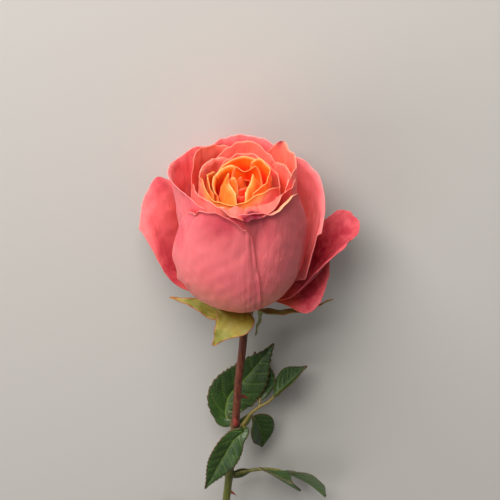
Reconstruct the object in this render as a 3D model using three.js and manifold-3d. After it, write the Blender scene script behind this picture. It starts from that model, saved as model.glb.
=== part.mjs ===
// Garden rose, one cut stem laid on its back, in millimetres with +Z up.
// It is drawn upright first: x to the viewer's right, y away from the viewer, z up the flower, with the
// receptacle, where stem and bloom meet, at the origin. Angles around the stem start at the side that
// faces the viewer and grow to the right. The last lines lay the whole stem down.
import * as THREE from 'three';
import { mergeVertices } from 'three/addons/utils/BufferGeometryUtils.js';
import Module from 'manifold-3d';

const wasm = await Module();
wasm.setup();

// Driving dimensions
const PETAL_THICKNESS = 0.6;
const LEAF_THICKNESS = 0.7;
const STEM_LENGTH = 205; // receptacle to cut end
const STEM_RADIUS = 1.7;
const BACK_REACH = 31; // from the bloom's axis to the surface it lies on
const RESTING_HEIGHT = 40; // how far up the bloom it touches that surface

// The stem droops from the bloom, which the surface carries, to its cut end
const LIFT = Math.atan((BACK_REACH - STEM_RADIUS) / (STEM_LENGTH + RESTING_HEIGHT));
const FLOOR_NORMAL = new THREE.Vector3(0, Math.cos(LIFT), -Math.sin(LIFT)); // points down into the surface
const FLOOR_DEPTH = BACK_REACH * Math.cos(LIFT) - RESTING_HEIGHT * Math.sin(LIFT);

const radians = THREE.MathUtils.degToRad;

// Catmull-Rom value through equally spaced numbers, or the number itself
function along(values, t) {
  if (typeof values === 'number') return values;
  const last = values.length - 1;
  const x = THREE.MathUtils.clamp(t, 0, 1) * last;
  const i = Math.min(Math.floor(x), last - 1);
  const f = x - i;
  const [b, c] = [values[i], values[i + 1]];
  const a = i > 0 ? values[i - 1] : 2 * b - c;
  const d = i < last - 1 ? values[i + 2] : 2 * c - b;
  return 0.5 * (2 * b + (c - a) * f + (2 * a - 5 * b + 4 * c - d) * f * f + (3 * b - a - 3 * c + d) * f ** 3);
}

// Closed blade of one thickness round a grid of points, grid[across][along], split alike on both faces
function bladeGeometry(grid, thickness) {
  const [columns, rows] = [grid.length, grid[0].length];
  const front = [];
  const back = [];
  for (let i = 0; i < columns; i += 1) {
    for (let j = 0; j < rows; j += 1) {
      const across = grid[Math.min(i + 1, columns - 1)][j].clone().sub(grid[Math.max(i - 1, 0)][j]);
      const up = grid[i][Math.min(j + 1, rows - 1)].clone().sub(grid[i][Math.max(j - 1, 0)]);
      const normal = across.cross(up).setLength(thickness / 2);
      front.push(grid[i][j].clone().add(normal));
      back.push(grid[i][j].clone().sub(normal));
    }
  }
  const index = [];
  const at = (i, j) => i * rows + j;
  const other = front.length;
  for (let i = 0; i < columns - 1; i += 1) {
    for (let j = 0; j < rows - 1; j += 1) {
      const [a, b, c, d] = [at(i, j), at(i + 1, j), at(i + 1, j + 1), at(i, j + 1)];
      index.push(a, b, c, a, c, d, other + a, other + c, other + b, other + a, other + d, other + c);
    }
  }
  const edge = [];
  for (let i = 0; i < columns - 1; i += 1) edge.push(at(i, 0));
  for (let j = 0; j < rows - 1; j += 1) edge.push(at(columns - 1, j));
  for (let i = columns - 1; i > 0; i -= 1) edge.push(at(i, rows - 1));
  for (let j = rows - 1; j > 0; j -= 1) edge.push(at(0, j));
  edge.forEach((a, k) => {
    const b = edge[(k + 1) % edge.length];
    index.push(a, other + a, other + b, a, other + b, b);
  });
  const geometry = new THREE.BufferGeometry().setFromPoints([...front, ...back]);
  geometry.setIndex(index);
  return geometry;
}

// Several closed geometries joined in one body
function fuse(geometries) {
  let body = null;
  for (const geometry of geometries) {
    const plain = geometry.clone();
    plain.deleteAttribute('normal');
    plain.deleteAttribute('uv');
    const merged = mergeVertices(plain, 1e-5);
    const solid = new wasm.Manifold(new wasm.Mesh({
      numProp: 3,
      vertProperties: new Float32Array(merged.attributes.position.array),
      triVerts: new Uint32Array(merged.index.array),
    }));
    body = body ? body.add(solid) : solid;
  }
  // Only the outer skin is kept, so a hollow that the join seals is filled and a loose scrap is dropped
  const skins = body.decompose().sort((one, other) => other.volume() - one.volume());
  const mesh = skins[0].getMesh();
  const geometry = new THREE.BufferGeometry();
  geometry.setAttribute('position', new THREE.BufferAttribute(mesh.vertProperties, 3));
  geometry.setIndex(new THREE.BufferAttribute(mesh.triVerts, 1));
  return geometry;
}

// Petals, from the outside of the bloom inwards. azimuth is where the petal's middle points and half its
// half width, both in degrees, half from claw to rim, with halfLeft where the left side differs. The middle
// line starts at base, [radius, height], rises at an angle and bulges by out. It ends upright, less lean,
// over a length of back, at the rim, which has a height and a radius from its left corner to its right one.
// The margin rolls outward by roll degrees. swell pushes the petal's belly out, from its left side to its
// right.
const PETALS = {
  guard_left: { azimuth: -125, half: [18, 26, 25, 20], halfLeft: [18, 36, 30, 20], base: [6.2, -1.9],
    rise: -3, out: 29.5, back: 16, rimHeight: [33, 38, 43, 37, 28],
    rimRadius: [37.5, 39.5, 41.5, 43, 44], lean: [30, 34, 38, 40, 42], roll: 10, rollLength: 2,
    corner: 4, cup: 2, ruffle: 0.4, waves: 2.3 },
  guard_right: { azimuth: 98, half: [18, 26, 21, 14], base: [5.7, -1.1], rise: 1, out: 25, back: 21,
    rimHeight: [27.5, 30, 32, 32.5, 31], rimRadius: [45, 47, 48, 47, 45], lean: 50, roll: 0,
    rollLength: 2, corner: 3, cup: 5 },
  guard_low: { azimuth: 122, half: [18, 46, 40, 30], base: [6.4, -2.3], rise: -2, out: 25, back: 12,
    rimHeight: [12, 16, 21, 23, 21], rimRadius: [35.5, 36.5, 36, 34.5, 33], lean: 12, roll: 30,
    rollLength: 3, corner: 4 },
  guard_back_left: { azimuth: -176, half: [18, 38, 39, 36], base: [5.5, -0.5], rise: 6.5, out: 25.7,
    back: 24, rimHeight: [42, 46, 49, 47, 43], rimRadius: [31.5, 32, 32, 32, 32], lean: 6, roll: 40,
    rollLength: 5, corner: 6 },
  guard_back_right: { azimuth: 168, half: [18, 40, 38, 32], base: [4.7, 0.5], rise: 12, out: 22.5,
    back: 24, rimHeight: [42, 47, 50, 49, 44], rimRadius: [31, 31, 30.4, 29.4, 28.8], lean: 4, roll: 20,
    rollLength: 4, corner: 6 },
  cup_front: { azimuth: 3, half: [24, 84, 80, 55], base: [5.2, 0.5], rise: 12, out: 25, back: 27,
    swell: [1.2, 1, 0.6, 0.4, 0.5, 0.6],
    rimHeight: [50.6, 54.2, 58.5, 59.5, 56.6, 49.6, 51.8, 55.4, 59.8, 61.6, 60.1],
    rimRadius: [26.2, 26.6, 26.9, 27, 27.2, 27.6, 26.8, 26, 26, 26.2, 26.4], lean: -3,
    roll: [20, 40, 70, 75, 60, 30, 80, 100, 100, 70, 20], rollLength: 4.5, corner: 2, ruffle: 0.15,
    waves: 2.4, phase: 0.2 },
  cup_left: { azimuth: -98, half: [24, 62, 62, 62], base: [4.5, 1.2], rise: 11, out: 23.2, back: 24,
    swell: [0.4, 0.3, -0.2, -0.9], rimHeight: [56, 59.2, 58.8, 61, 60.8, 60.6, 57.2],
    rimRadius: [26.8, 27.4, 27.8, 27.8, 27.4, 26.2, 24.3], lean: [2, 4, 8, 10, 9, 6, 0],
    roll: [20, 20, 20, 40, 40, 20, 5], rollLength: 3, corner: 1, ruffle: 0.2, waves: 2.2, phase: 0.6 },
  cup_back: { azimuth: 178, half: [24, 60, 56, 45], base: [3.6, 2.5], rise: 17, out: 21.5, back: 25,
    rimHeight: [57.2, 61, 62.2, 61.2, 58.2], rimRadius: [25, 25.7, 25.6, 25, 24.6], lean: -3, roll: 20,
    rollLength: 2.5, corner: 2, ruffle: 0.3, waves: 2.5, phase: 0.1 },
  cup_right: { azimuth: 120, half: [22, 36, 42, 42], halfLeft: [22, 26, 50, 42], base: [4.2, 1.6],
    rise: 13.5, out: 24.5, back: 24, swell: [1, 0.4, 0, 0],
    rimHeight: [38, 46, 52, 54.6, 55.4, 55.4, 53.5], rimRadius: [31.5, 32.4, 32, 30.6, 28.8, 27.7, 27.6],
    lean: [12, 13, 12, 9, 5, 2, 1], roll: [70, 60, 45, 30, 20, 10, 0], rollLength: 3, corner: 2,
    ruffle: 0.3, waves: 3, phase: 0.5 },
  inner_left: { azimuth: -30, half: [30, 50, 44, 34], base: [2.9, 3.6], rise: 17, out: 20, back: 22,
    rimHeight: [62.4, 60, 59.6, 58, 55], rimRadius: [21.4, 21.8, 22.1, 22.3, 22.4], lean: -4, roll: 10,
    rollLength: 2, corner: 0.5, ruffle: 0.2, waves: 3 },
  inner_front: { azimuth: 24, half: [30, 62, 56, 43], base: [2.9, 3.6], rise: 17, out: 21.2, back: 23,
    rimHeight: [58, 56, 55.6, 57.2, 60.2, 61.8, 63.4], rimRadius: [23.7, 23.9, 24, 24, 24, 23.8, 23.6],
    lean: -3, roll: 20, rollLength: 2, corner: 0.5, ruffle: 0.35, waves: 4, phase: 0.3 },
  inner_right: { azimuth: 98, half: [30, 62, 60, 42], base: [2.9, 3.6], rise: 17, out: 20.2, back: 23,
    rimHeight: [63.5, 66, 66.6, 66.2, 65.8, 65.6, 65.4],
    rimRadius: [21.8, 22, 22.2, 22.2, 22.2, 22.2, 22], lean: -3, roll: [10, 10, 20, 20, 20, 10, 0],
    rollLength: 2, corner: 0.5, ruffle: 0.3, waves: 3 },
  inner_back_left: { azimuth: -140, half: [30, 50, 40, 27], base: [2.9, 3.6], rise: 17, out: 19.5,
    back: 22, rimHeight: [60, 61.6, 63, 64, 62.5], rimRadius: [22.6, 22.4, 22, 21.2, 20.8], lean: -2,
    roll: 10, rollLength: 2, corner: 0.5, ruffle: 0.2, waves: 3 },
  inner_back: { azimuth: 172, half: [30, 60, 55, 42], base: [2.9, 3.6], rise: 17, out: 18, back: 22,
    rimHeight: [57, 60.8, 63.8, 61.5, 56.4], rimRadius: [20, 20, 20, 19.8, 19.2], lean: -4, roll: 10,
    rollLength: 2, corner: 1, ruffle: 0.2, waves: 2 },
  ring_front: { azimuth: -28, half: [34, 80, 85, 86], base: [2.6, 4.8], rise: 18, out: 15, back: 22,
    rimHeight: [58.5, 59.8, 60.6, 58.5, 56.6, 57.4, 59.6, 61.8, 62],
    rimRadius: [16.2, 16.2, 16.4, 16.5, 16.6, 16.8, 17.2, 17.8, 18.2], lean: -5,
    roll: [20, 20, 30, 50, 60, 50, 30, 20, 20], rollLength: 3, corner: 1, ruffle: 0.3, waves: 4 },
  ring_right: { azimuth: 104, half: [34, 60, 55, 30], base: [2.6, 4.8], rise: 18, out: 16.6, back: 22,
    rimHeight: [60, 61, 60.7, 59.6, 58.2], rimRadius: [19.4, 19.6, 19.4, 18.9, 18.4], lean: -3, roll: 20,
    rollLength: 2, corner: 1, ruffle: 0.3, waves: 3 },
  ring_left: { azimuth: -140, half: [34, 60, 50, 26], base: [2.6, 4.8], rise: 18, out: 15, back: 22,
    rimHeight: [57.5, 58.7, 58], rimRadius: [17, 17.6, 17.6], lean: -3, roll: 50, rollLength: 2,
    corner: 1.5, ruffle: 0.3, waves: 2 },
  ring_back: { azimuth: 150, half: [34, 60, 60, 62], base: [2.6, 4.8], rise: 18, out: 14, back: 22,
    rimHeight: [55, 56.6, 59.7, 60.8, 57.5], rimRadius: [16.2, 16.2, 16, 15.6, 15], lean: -5, roll: 10,
    rollLength: 1.5, corner: 1, ruffle: 0.3, waves: 3 },
  heart_left: { azimuth: -92, half: [38, 60, 50, 34], base: [2.2, 8.4], rise: 18, out: 10, back: 20,
    rimHeight: [58, 58.4, 60.5, 60.5, 57], rimRadius: [13, 13, 13.2, 13.2, 12.8], lean: -6, roll: 30,
    rollLength: 1.5, corner: 1, ruffle: 0.3, waves: 2 },
  heart_back: { azimuth: 165, half: [38, 60, 60, 60], base: [2.2, 8.4], rise: 18, out: 10, back: 20,
    rimHeight: [57, 59.4, 60.8, 60, 57], rimRadius: [13.2, 13.3, 13.2, 13.1, 12.8], lean: -6, roll: 20,
    rollLength: 1.5, corner: 1, ruffle: 0.3, waves: 3 },
  heart_band: { azimuth: -122, half: [38, 80, 75, 63], base: [2.2, 8.4], rise: 18, out: 8, back: 20,
    rimHeight: [60.5, 58.6, 57.5, 56, 56.4, 58, 55.5],
    rimRadius: [10.6, 10.6, 10.6, 10.4, 10.3, 10.6, 10.6], lean: -6, roll: 70, rollLength: 2.2,
    corner: 0.5, ruffle: 0.2, waves: 3 },
  heart_right: { azimuth: 92, half: [38, 78, 76, 66], base: [2.2, 8.4], rise: 18, out: 9, back: 20,
    rimHeight: [59.8, 60.8, 61.5, 61, 61.5, 61.6, 59.4],
    rimRadius: [11.6, 11.8, 11.4, 11.4, 11.8, 11.4, 11.4], lean: -6, roll: 20, rollLength: 1.5,
    corner: 0.5, ruffle: 0.2, waves: 3 },
  flame_left: { azimuth: -53, half: [38, 60, 54, 38], halfLeft: [38, 60, 45, 26], base: [2, 9], rise: 20,
    out: 8, back: 14, rimHeight: [55, 58.6, 63.4, 60.6, 57.4, 55], rimRadius: [8.2, 8, 7.6, 7.2, 6.6, 6],
    lean: -16, roll: 0, rollLength: 1, corner: 0.5, ruffle: 0.3, waves: 2 },
  flame_right: { azimuth: 52, half: [38, 60, 55, 44], base: [2, 9], rise: 20, out: 8, back: 14,
    rimHeight: [53.5, 58, 64, 61, 61.6, 60.6], rimRadius: [5.6, 6.6, 7.6, 8.2, 8.5, 8.6], lean: -14,
    roll: 0, rollLength: 1, corner: 0.5, ruffle: 0.3, waves: 2 },
  flame_small: { azimuth: -45, half: [38, 60, 45, 26], base: [1.8, 9], rise: 20, out: 6, back: 12,
    rimHeight: [55, 58, 60.5, 57], rimRadius: [5.2, 4.8, 4.2, 3.6], lean: -10, roll: 0, rollLength: 1,
    corner: 0.5, ruffle: 0.2, waves: 2 },
  scroll: { azimuth: 158, half: [38, 60, 50, 40], base: [2, 9], rise: 20, out: 6, back: 14,
    rimHeight: [62, 60, 59.4, 59.8, 62], rimRadius: [7.6, 7, 6.6, 6.6, 7.4], lean: -14, roll: 0,
    rollLength: 1, corner: 0.3 },
  core_back: { azimuth: 180, half: [38, 85, 90, 85], base: [1.6, 9], rise: 24, out: 5, back: 12,
    rimHeight: [52, 55.6, 57, 56, 52], rimRadius: [3.4, 3.7, 3.8, 3.7, 3.4], lean: -10, roll: 0,
    rollLength: 1, corner: 0.3, ruffle: 0.3, waves: 3 },
  core_front: { azimuth: 10, half: [38, 80, 85, 80], base: [1.4, 9], rise: 24, out: 5, back: 14,
    rimHeight: [51, 51.4, 51, 51.4, 51], rimRadius: [2.8, 3.1, 3.2, 3.1, 2.8], lean: -24, roll: 0,
    rollLength: 1, corner: 0.3, ruffle: 0.2, waves: 3 },
  core_left: { azimuth: -120, half: [38, 80, 85, 80], base: [1.2, 9], rise: 24, out: 4, back: 14,
    rimHeight: [51, 52, 52.4, 52, 51], rimRadius: [1.4, 1.8, 2, 1.8, 1.4], lean: -24, roll: 0,
    rollLength: 1, corner: 0.3, ruffle: 0.2, waves: 3 },
};
const USUAL = {
  rise: 8, lean: 0, roll: 0, rollLength: 2, corner: 0, ruffle: 0, waves: 2, phase: 0, cup: 0, swell: 0,
};

// A point of a petal: u from its left edge, -1, to its right, +1, and v from its claw, 0, to its rim, 1
function petalPoint(spec, u, v) {
  const p = { ...USUAL, ...spec };
  const s = (u + 1) / 2;
  const rimHeight = along(p.rimHeight, s) - p.corner * Math.abs(u) ** 6;
  const rimRadius = along(p.rimRadius, s);
  const lean = radians(along(p.lean, s));
  const roll = Math.max(radians(along(p.roll, s)), 1e-3);
  const [r0, h0] = p.base;
  const profile = new THREE.CubicBezierCurve(
    new THREE.Vector2(r0, h0),
    new THREE.Vector2(r0 + p.out * Math.cos(radians(p.rise)), h0 + p.out * Math.sin(radians(p.rise))),
    new THREE.Vector2(rimRadius - p.back * Math.sin(lean), rimHeight - p.back * Math.cos(lean)),
    new THREE.Vector2(rimRadius, rimHeight),
  );
  const body = 1.12 * Math.hypot(rimRadius - r0, rimHeight - h0);
  const rollStart = body / (body + p.rollLength);
  let { x: r, y: h } = profile.getPoint(Math.min(v / rollStart, 1));
  const heading = profile.getTangent(Math.min(v / rollStart, 1));
  let turn = Math.atan2(heading.x, heading.y);
  if (v > rollStart) {
    const bend = (roll * (v - rollStart)) / (1 - rollStart);
    const rollRadius = p.rollLength / roll;
    r = rimRadius + rollRadius * (Math.cos(lean) - Math.cos(lean + bend));
    h = rimHeight + rollRadius * (Math.sin(lean + bend) - Math.sin(lean));
    turn = lean + bend;
  }
  const growth = THREE.MathUtils.smoothstep(v, 0.35, 1);
  const wave = Math.sin(2 * Math.PI * (p.waves * s + p.phase))
    + 0.45 * Math.sin(2 * Math.PI * (1.9 * p.waves * s + 1.7 * p.phase + 0.3));
  const inward = p.ruffle * growth * wave - along(p.swell, s) * Math.sin(Math.PI * v)
    + p.cup * u * u * Math.sin((Math.PI / 2) * Math.min(1.4 * v, 1));
  r -= inward * Math.cos(turn);
  h += inward * Math.sin(turn);
  const half = u < 0 && p.halfLeft ? p.halfLeft : p.half;
  const azimuth = radians(p.azimuth + u * along(half, v));
  return new THREE.Vector3(r * Math.sin(azimuth), -r * Math.cos(azimuth), h);
}

// Petals under the bloom are pressed flat where they meet the surface
function pressed(point) {
  const sunk = point.dot(FLOOR_NORMAL) - (FLOOR_DEPTH - PETAL_THICKNESS / 2);
  return sunk > 0 ? point.addScaledVector(FLOOR_NORMAL, -sunk) : point;
}

function petalGeometry(name, columns, rows) {
  const grid = Array.from({ length: columns + 1 }, (_, i) => Array.from({ length: rows + 1 }, (__, j) => {
    const v = 1 - (1 - j / rows) ** 1.35; // closer rows at the rim, where the petal rolls
    return pressed(petalPoint(PETALS[name], (2 * i) / columns - 1, v));
  }));
  return bladeGeometry(grid, PETAL_THICKNESS);
}

// Closed tube through points, with a radius at each of them
function stalkGeometry(points, radii, sides, steps) {
  const curve = new THREE.CatmullRomCurve3(points, false, 'centripetal');
  const frames = curve.computeFrenetFrames(steps, false);
  const positions = [];
  for (let k = 0; k <= steps; k += 1) {
    const centre = curve.getPointAt(k / steps);
    const radius = along(radii, k / steps);
    for (let i = 0; i < sides; i += 1) {
      const a = (2 * Math.PI * i) / sides;
      positions.push(centre.clone()
        .addScaledVector(frames.normals[k], radius * Math.cos(a))
        .addScaledVector(frames.binormals[k], radius * Math.sin(a)));
    }
  }
  const index = [];
  for (let k = 0; k < steps; k += 1) {
    for (let i = 0; i < sides; i += 1) {
      const [a, b] = [k * sides + i, k * sides + ((i + 1) % sides)];
      index.push(a, b, b + sides, a, b + sides, a + sides);
    }
  }
  const top = steps * sides;
  for (let i = 1; i < sides - 1; i += 1) index.push(0, i + 1, i, top, top + i, top + i + 1);
  const geometry = new THREE.BufferGeometry().setFromPoints(positions);
  geometry.setIndex(index);
  return geometry;
}

// Leaf-like blade along a spine: width is its half width, face the side that it shows, and its two halves
// fold up from the rib. Teeth point to the tip.
function ribbonGeometry({ spine, face, width, outline, fold = 20, teeth = 0, rows = 8, columns = 4 }) {
  const curve = new THREE.CatmullRomCurve3(spine, false, 'centripetal');
  const grid = [];
  for (let i = 0; i <= columns; i += 1) {
    const u = (2 * i) / columns - 1;
    grid.push([]);
    for (let j = 0; j <= rows; j += 1) {
      const v = j / rows;
      const heading = curve.getTangentAt(v);
      const side = heading.clone().cross(face).normalize();
      const up = side.clone().cross(heading);
      const tooth = teeth && Math.abs(u) === 1 && j > 1 && j < rows - 1 ? (j % 2 ? -1 : 1) * teeth : 0;
      const reach = (width * along(outline, v) + tooth) * u;
      grid[i].push(curve.getPointAt(v)
        .addScaledVector(side, reach * Math.cos(radians(fold)))
        .addScaledVector(up, Math.abs(reach) * Math.sin(radians(fold)))
        .addScaledVector(heading, Math.abs(tooth) * Math.abs(u)));
    }
  }
  return bladeGeometry(grid, LEAF_THICKNESS);
}

const V = (x, y, z) => new THREE.Vector3(x, y, z);

// Hip, the swollen end of the stem, with the cone above it that the petals grow from: [radius, height]
const HIP_PROFILE = [[0, -12], [2.3, -12], [3.6, -10], [4.6, -7], [4.5, -4.8], [4.2, -3.6], [5.9, -2.9],
  [5.5, -1.9], [4.2, -0.1], [3, 1.6], [2.2, 2.8], [0, 2.8]];
const HIP_DRIFT = 0.13; // sideways for each millimetre below its rim, to meet the stem

// Five sepals bent down under the bloom: the middle line from the hip's rim to the tip
const SEPALS = [
  { spine: [V(-0.8, -3.6, -3.7), V(-3, -9, -5), V(-8, -12.6, -9), V(-11.6, -13.2, -15)],
    face: V(0, -0.6, 0.8), width: 8.4 },
  { spine: [V(-3.6, 0.3, -3.9), V(-9.4, 1.2, -7.6), V(-19, 2.8, -5.2), V(-30, 4.4, -3)],
    face: V(0, -0.6, 0.8), width: 4.6 },
  { spine: [V(3.6, -1, -3.7), V(11, -0.6, -7.8), V(24, 1.6, -8.6), V(39, 5, -4.6)],
    face: V(0, 0.4, 0.9), width: 4.6 },
  { spine: [V(2.4, 2.8, -3.7), V(5.6, 7.5, -6), V(7.8, 8.6, -14), V(6, 6.2, -25)],
    face: V(0.8, 0.4, 0.4), width: 3.4 },
  { spine: [V(-2.6, 2.8, -3.7), V(-7, 8, -6.6), V(-12, 12.5, -9), V(-16, 14.5, -15)],
    face: V(-0.4, 0.7, 0.6), width: 4.8 },
];
const SEPAL_OUTLINE = [0.42, 0.95, 1, 0.72, 0.42, 0.2, 0.05];

function calyxGeometry() {
  const hip = new THREE.LatheGeometry(HIP_PROFILE.map(([r, h]) => new THREE.Vector2(r, h)), 14);
  hip.rotateX(Math.PI / 2); // the lathe turns round Y
  const position = hip.attributes.position;
  const rim = -2.9;
  for (let i = 0; i < position.count; i += 1) {
    position.setX(i, position.getX(i) + HIP_DRIFT * Math.max(0, rim - position.getZ(i)));
  }
  const shared = { outline: SEPAL_OUTLINE, fold: 14, rows: 6 };
  const sepals = SEPALS.map((sepal) => ribbonGeometry({ ...sepal, ...shared }));
  return fuse([hip, ...sepals]);
}

// Middle line of the stem from the hip to the cut end, with a slight bend at each leaf
const STEM_LINE = [V(1.25, 0, -12.4), V(0.8, 0, -24), V(-1.2, 0, -45), V(-2.4, 0, -66), V(-3.8, 0, -79),
  V(-5.1, 0, -95), V(-7.4, 0, -120), V(-10.4, 0, -160), V(-11.4, 0, -STEM_LENGTH)];
const LEAF_HEIGHTS = [-70.7, -99.4, -160];
const PRICKLES = [ // [height, azimuth]
  [-54, 105], [-84, -75], [-109, 70], [-124, -120], [-141, 15], [-176, 95], [-189, -65],
];

function stemAt(height) {
  const i = STEM_LINE.findIndex((point) => point.z <= height);
  const [above, below] = [STEM_LINE[i - 1], STEM_LINE[i]];
  return above.clone().lerp(below, (above.z - height) / (above.z - below.z));
}

function stemGeometry() {
  const steps = 26;
  const radii = Array.from({ length: steps + 1 }, (_, k) => {
    const height = -12 + ((12 - STEM_LENGTH) * k) / steps;
    const swelling = LEAF_HEIGHTS
      .reduce((sum, node) => sum + 0.35 * Math.exp(-(((height - node) / 3) ** 2)), 0);
    return STEM_RADIUS + swelling + 0.3 * Math.exp(-(((height + 12) / 8) ** 2));
  });
  const shaft = stalkGeometry(STEM_LINE, radii, 8, steps);
  const prickles = PRICKLES.map(([height, azimuth]) => {
    const out = V(Math.sin(radians(azimuth)), -Math.cos(radians(azimuth)), 0);
    const root = stemAt(height);
    const hook = [[0.6, 0], [3.2, -0.7], [5.6, -2.4]]
      .map(([r, drop]) => root.clone().addScaledVector(out, r).add(V(0, 0, drop)));
    return stalkGeometry(hook, [1.5, 0.75, 0.2], 5, 2);
  });
  return fuse([shaft, ...prickles]);
}

// Compound leaves: a rachis from the stem, leaflets on short stalks of their own, a stipule at the base
const LEAFLET_OUTLINE = [0.12, 0.55, 0.88, 1, 0.97, 0.82, 0.56, 0.26, 0.04];
const LEAVES = {
  leaf_1: {
    rachis: [V(0.3, 1.1, -70.8), V(4, 3.4, -66.6), V(8, 5, -63.8), V(12, 6, -62)],
    leaflets: [
      { spine: [V(11.6, 5.9, -62.2), V(18, 7.4, -55.6), V(23.4, 8, -49.6), V(28.4, 8, -43.4)],
        face: V(-0.5, -0.1, 0.8), width: 7, fold: 26 },
      { spine: [V(0.6, 1.8, -70.2), V(-6.6, 5.8, -70.6), V(-5.6, 9.2, -62), V(3, 11, -51),
        V(14, 12.5, -34.6)],
        face: V(0, -1, 0.25), width: 10.4, fold: 12 },
      { spine: [V(3.8, 3.2, -66.8), V(6.2, 5.4, -71.6), V(8.6, 6.8, -79.6), V(9, 8, -89.6)],
        face: V(0.5, -0.7, 0.3), width: 7, fold: 20 },
      { spine: [V(0.5, 1.2, -70.4), V(1.2, -3.5, -70.4), V(-2.8, -5.4, -73.4), V(-8.6, -6.4, -84.6),
        V(-16.2, -6, -102)],
        face: V(0.2, -0.8, 0.6), width: 6.4, fold: 18 },
      { spine: [V(7.8, 5, -63.8), V(8.4, 9.8, -59.6), V(7.4, 14, -51), V(6, 15.8, -42)],
        face: V(0, -1, 0.2), width: 7, fold: 8 },
    ],
  },
  leaf_2: {
    rachis: [V(-2.8, 0.7, -99.4), V(3.6, 1.8, -98.4), V(10, 2.6, -98.2), V(16.4, 3.2, -99.4)],
    leaflets: [
      { spine: [V(16, 3.1, -99.3), V(23.4, 4, -103), V(31, 4.8, -109), V(38, 5.6, -117.4)],
        face: V(0.1, 0.6, 0.8), width: 8.6, fold: 16 },
      { spine: [V(9.6, 2.5, -98.3), V(12, -2.4, -95.6), V(16.6, -9, -92.6), V(22.6, -15, -91)],
        face: V(0.2, 0.55, 0.8), width: 7.4, fold: 16 },
      { spine: [V(9.6, 2.6, -98.4), V(12.6, 4.4, -102), V(18.6, 6, -108), V(26.6, 6.8, -115)],
        face: V(0.1, 0.5, 0.85), width: 6, fold: 12 },
    ],
  },
  leaf_3: {
    rachis: [V(-13.5, 0.3, -160), V(-20, 1.6, -155.6), V(-28, 2.4, -152), V(-36, 3, -149)],
    leaflets: [
      { spine: [V(-35.6, 3, -149.2), V(-44, 3.6, -144.6), V(-54, 4.6, -140), V(-64, 6, -136)],
        face: V(0.1, -1, 0.1), width: 11, fold: 14 },
      { spine: [V(-19.6, 1.5, -155.8), V(-20.6, 2.2, -149), V(-23, 3.4, -139), V(-24, 5, -128)],
        face: V(0, -1, 0.1), width: 8, fold: 14 },
      { spine: [V(-20, 1.6, -155.6), V(-27, 2, -160), V(-35, 2.2, -164), V(-45, 2.8, -167)],
        face: V(0, -1, 0.1), width: 8, fold: 14 },
      { spine: [V(-28.2, 2.4, -151.8), V(-31, 3, -144.6), V(-36, 4.2, -134.6), V(-40, 5.6, -123.6)],
        face: V(0, -1, 0.1), width: 9, fold: 14 },
      { spine: [V(-28.4, 2.4, -151.8), V(-37, 2.8, -154.6), V(-47, 3.4, -156), V(-58, 4.4, -156)],
        face: V(0, -1, 0.1), width: 9, fold: 14 },
    ],
  },
};

function leafGeometry({ rachis, leaflets }) {
  const stalks = leaflets.map(({ spine: [from, to] }) => (
    stalkGeometry([from, from.clone().lerp(to, 0.5), to], [0.6, 0.55, 0.45], 4, 2)));
  const blades = leaflets.map((leaflet) => {
    const spine = [leaflet.spine[0].clone().lerp(leaflet.spine[1], 0.45), ...leaflet.spine.slice(1)];
    return ribbonGeometry({ ...leaflet, spine, outline: LEAFLET_OUTLINE, teeth: 0.6, rows: 11, columns: 2 });
  });
  const stipule = ribbonGeometry({
    spine: [rachis[0], rachis[0].clone().lerp(rachis[1], 0.5), rachis[1].clone().lerp(rachis[2], 0.2)],
    face: V(0, -1, 0.3), width: 1.9, outline: [0.7, 1, 1, 0.6, 0.1], fold: 10, rows: 4,
  });
  return fuse([stalkGeometry(rachis, [0.95, 0.8, 0.7, 0.6], 6, 5), stipule, ...stalks, ...blades]);
}

// Sub-parts

const COLOURS = {
  outer: 0xd9606a, inner: 0xe8705c, heart: 0xf08a34, hip: 0x8a8f3c, stem: 0x6a5a2c, leaf: 0x2c4a22,
};
const material = (name) => new THREE.MeshStandardMaterial({ color: COLOURS[name], roughness: 0.6 });
const rose = new THREE.Group();

function place(name, geometry, colour) {
  geometry.computeVertexNormals();
  const mesh = new THREE.Mesh(geometry, material(colour));
  mesh.name = name;
  rose.add(mesh);
}

const names = Object.keys(PETALS);
const starting = (...starts) => names.filter((name) => starts.some((start) => name.startsWith(start)));

// Each of the large outer petals is a piece of its own
for (const name of starting('guard', 'cup')) place(`petal_${name}`, petalGeometry(name, 10, 8), 'outer');

// Middle petals grow together on a short plug
const plug = new THREE.LatheGeometry([[0, 3.15], [2.1, 3.15], [3.3, 4], [3, 5.6], [2.6, 7], [0, 7]]
  .map(([r, h]) => new THREE.Vector2(r, h)), 10).rotateX(Math.PI / 2);
const middlePetals = starting('inner', 'ring').map((name) => petalGeometry(name, 7, 6));
place('bloom_middle', fuse([plug, ...middlePetals]), 'inner');

// Heart petals grow together on a core that they hide
const coreProfile = [[0, 7.35], [2.4, 7.35], [3.4, 14], [4.6, 26], [4.6, 40], [3, 48], [0, 50]]
  .map(([r, h]) => new THREE.Vector2(r, h));
const core = new THREE.LatheGeometry(coreProfile, 10).rotateX(Math.PI / 2);
const heartPetals = starting('heart', 'flame', 'scroll', 'core').map((name) => petalGeometry(name, 6, 5));
place('bloom_heart', fuse([core, ...heartPetals]), 'heart');

place('calyx', calyxGeometry(), 'hip');
place('stem', stemGeometry(), 'stem');
for (const [name, leaf] of Object.entries(LEAVES)) place(name, leafGeometry(leaf), 'leaf');

// Laid down: the viewer's side up, the bloom towards +Y, the lowest point on the surface
rose.rotation.x = -Math.PI / 2 + LIFT;
rose.updateMatrixWorld(true);
const box = new THREE.Box3().setFromObject(rose, true);
const middle = box.getCenter(new THREE.Vector3());
rose.position.set(-middle.x, -middle.y, -box.min.z);

export default rose;
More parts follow.
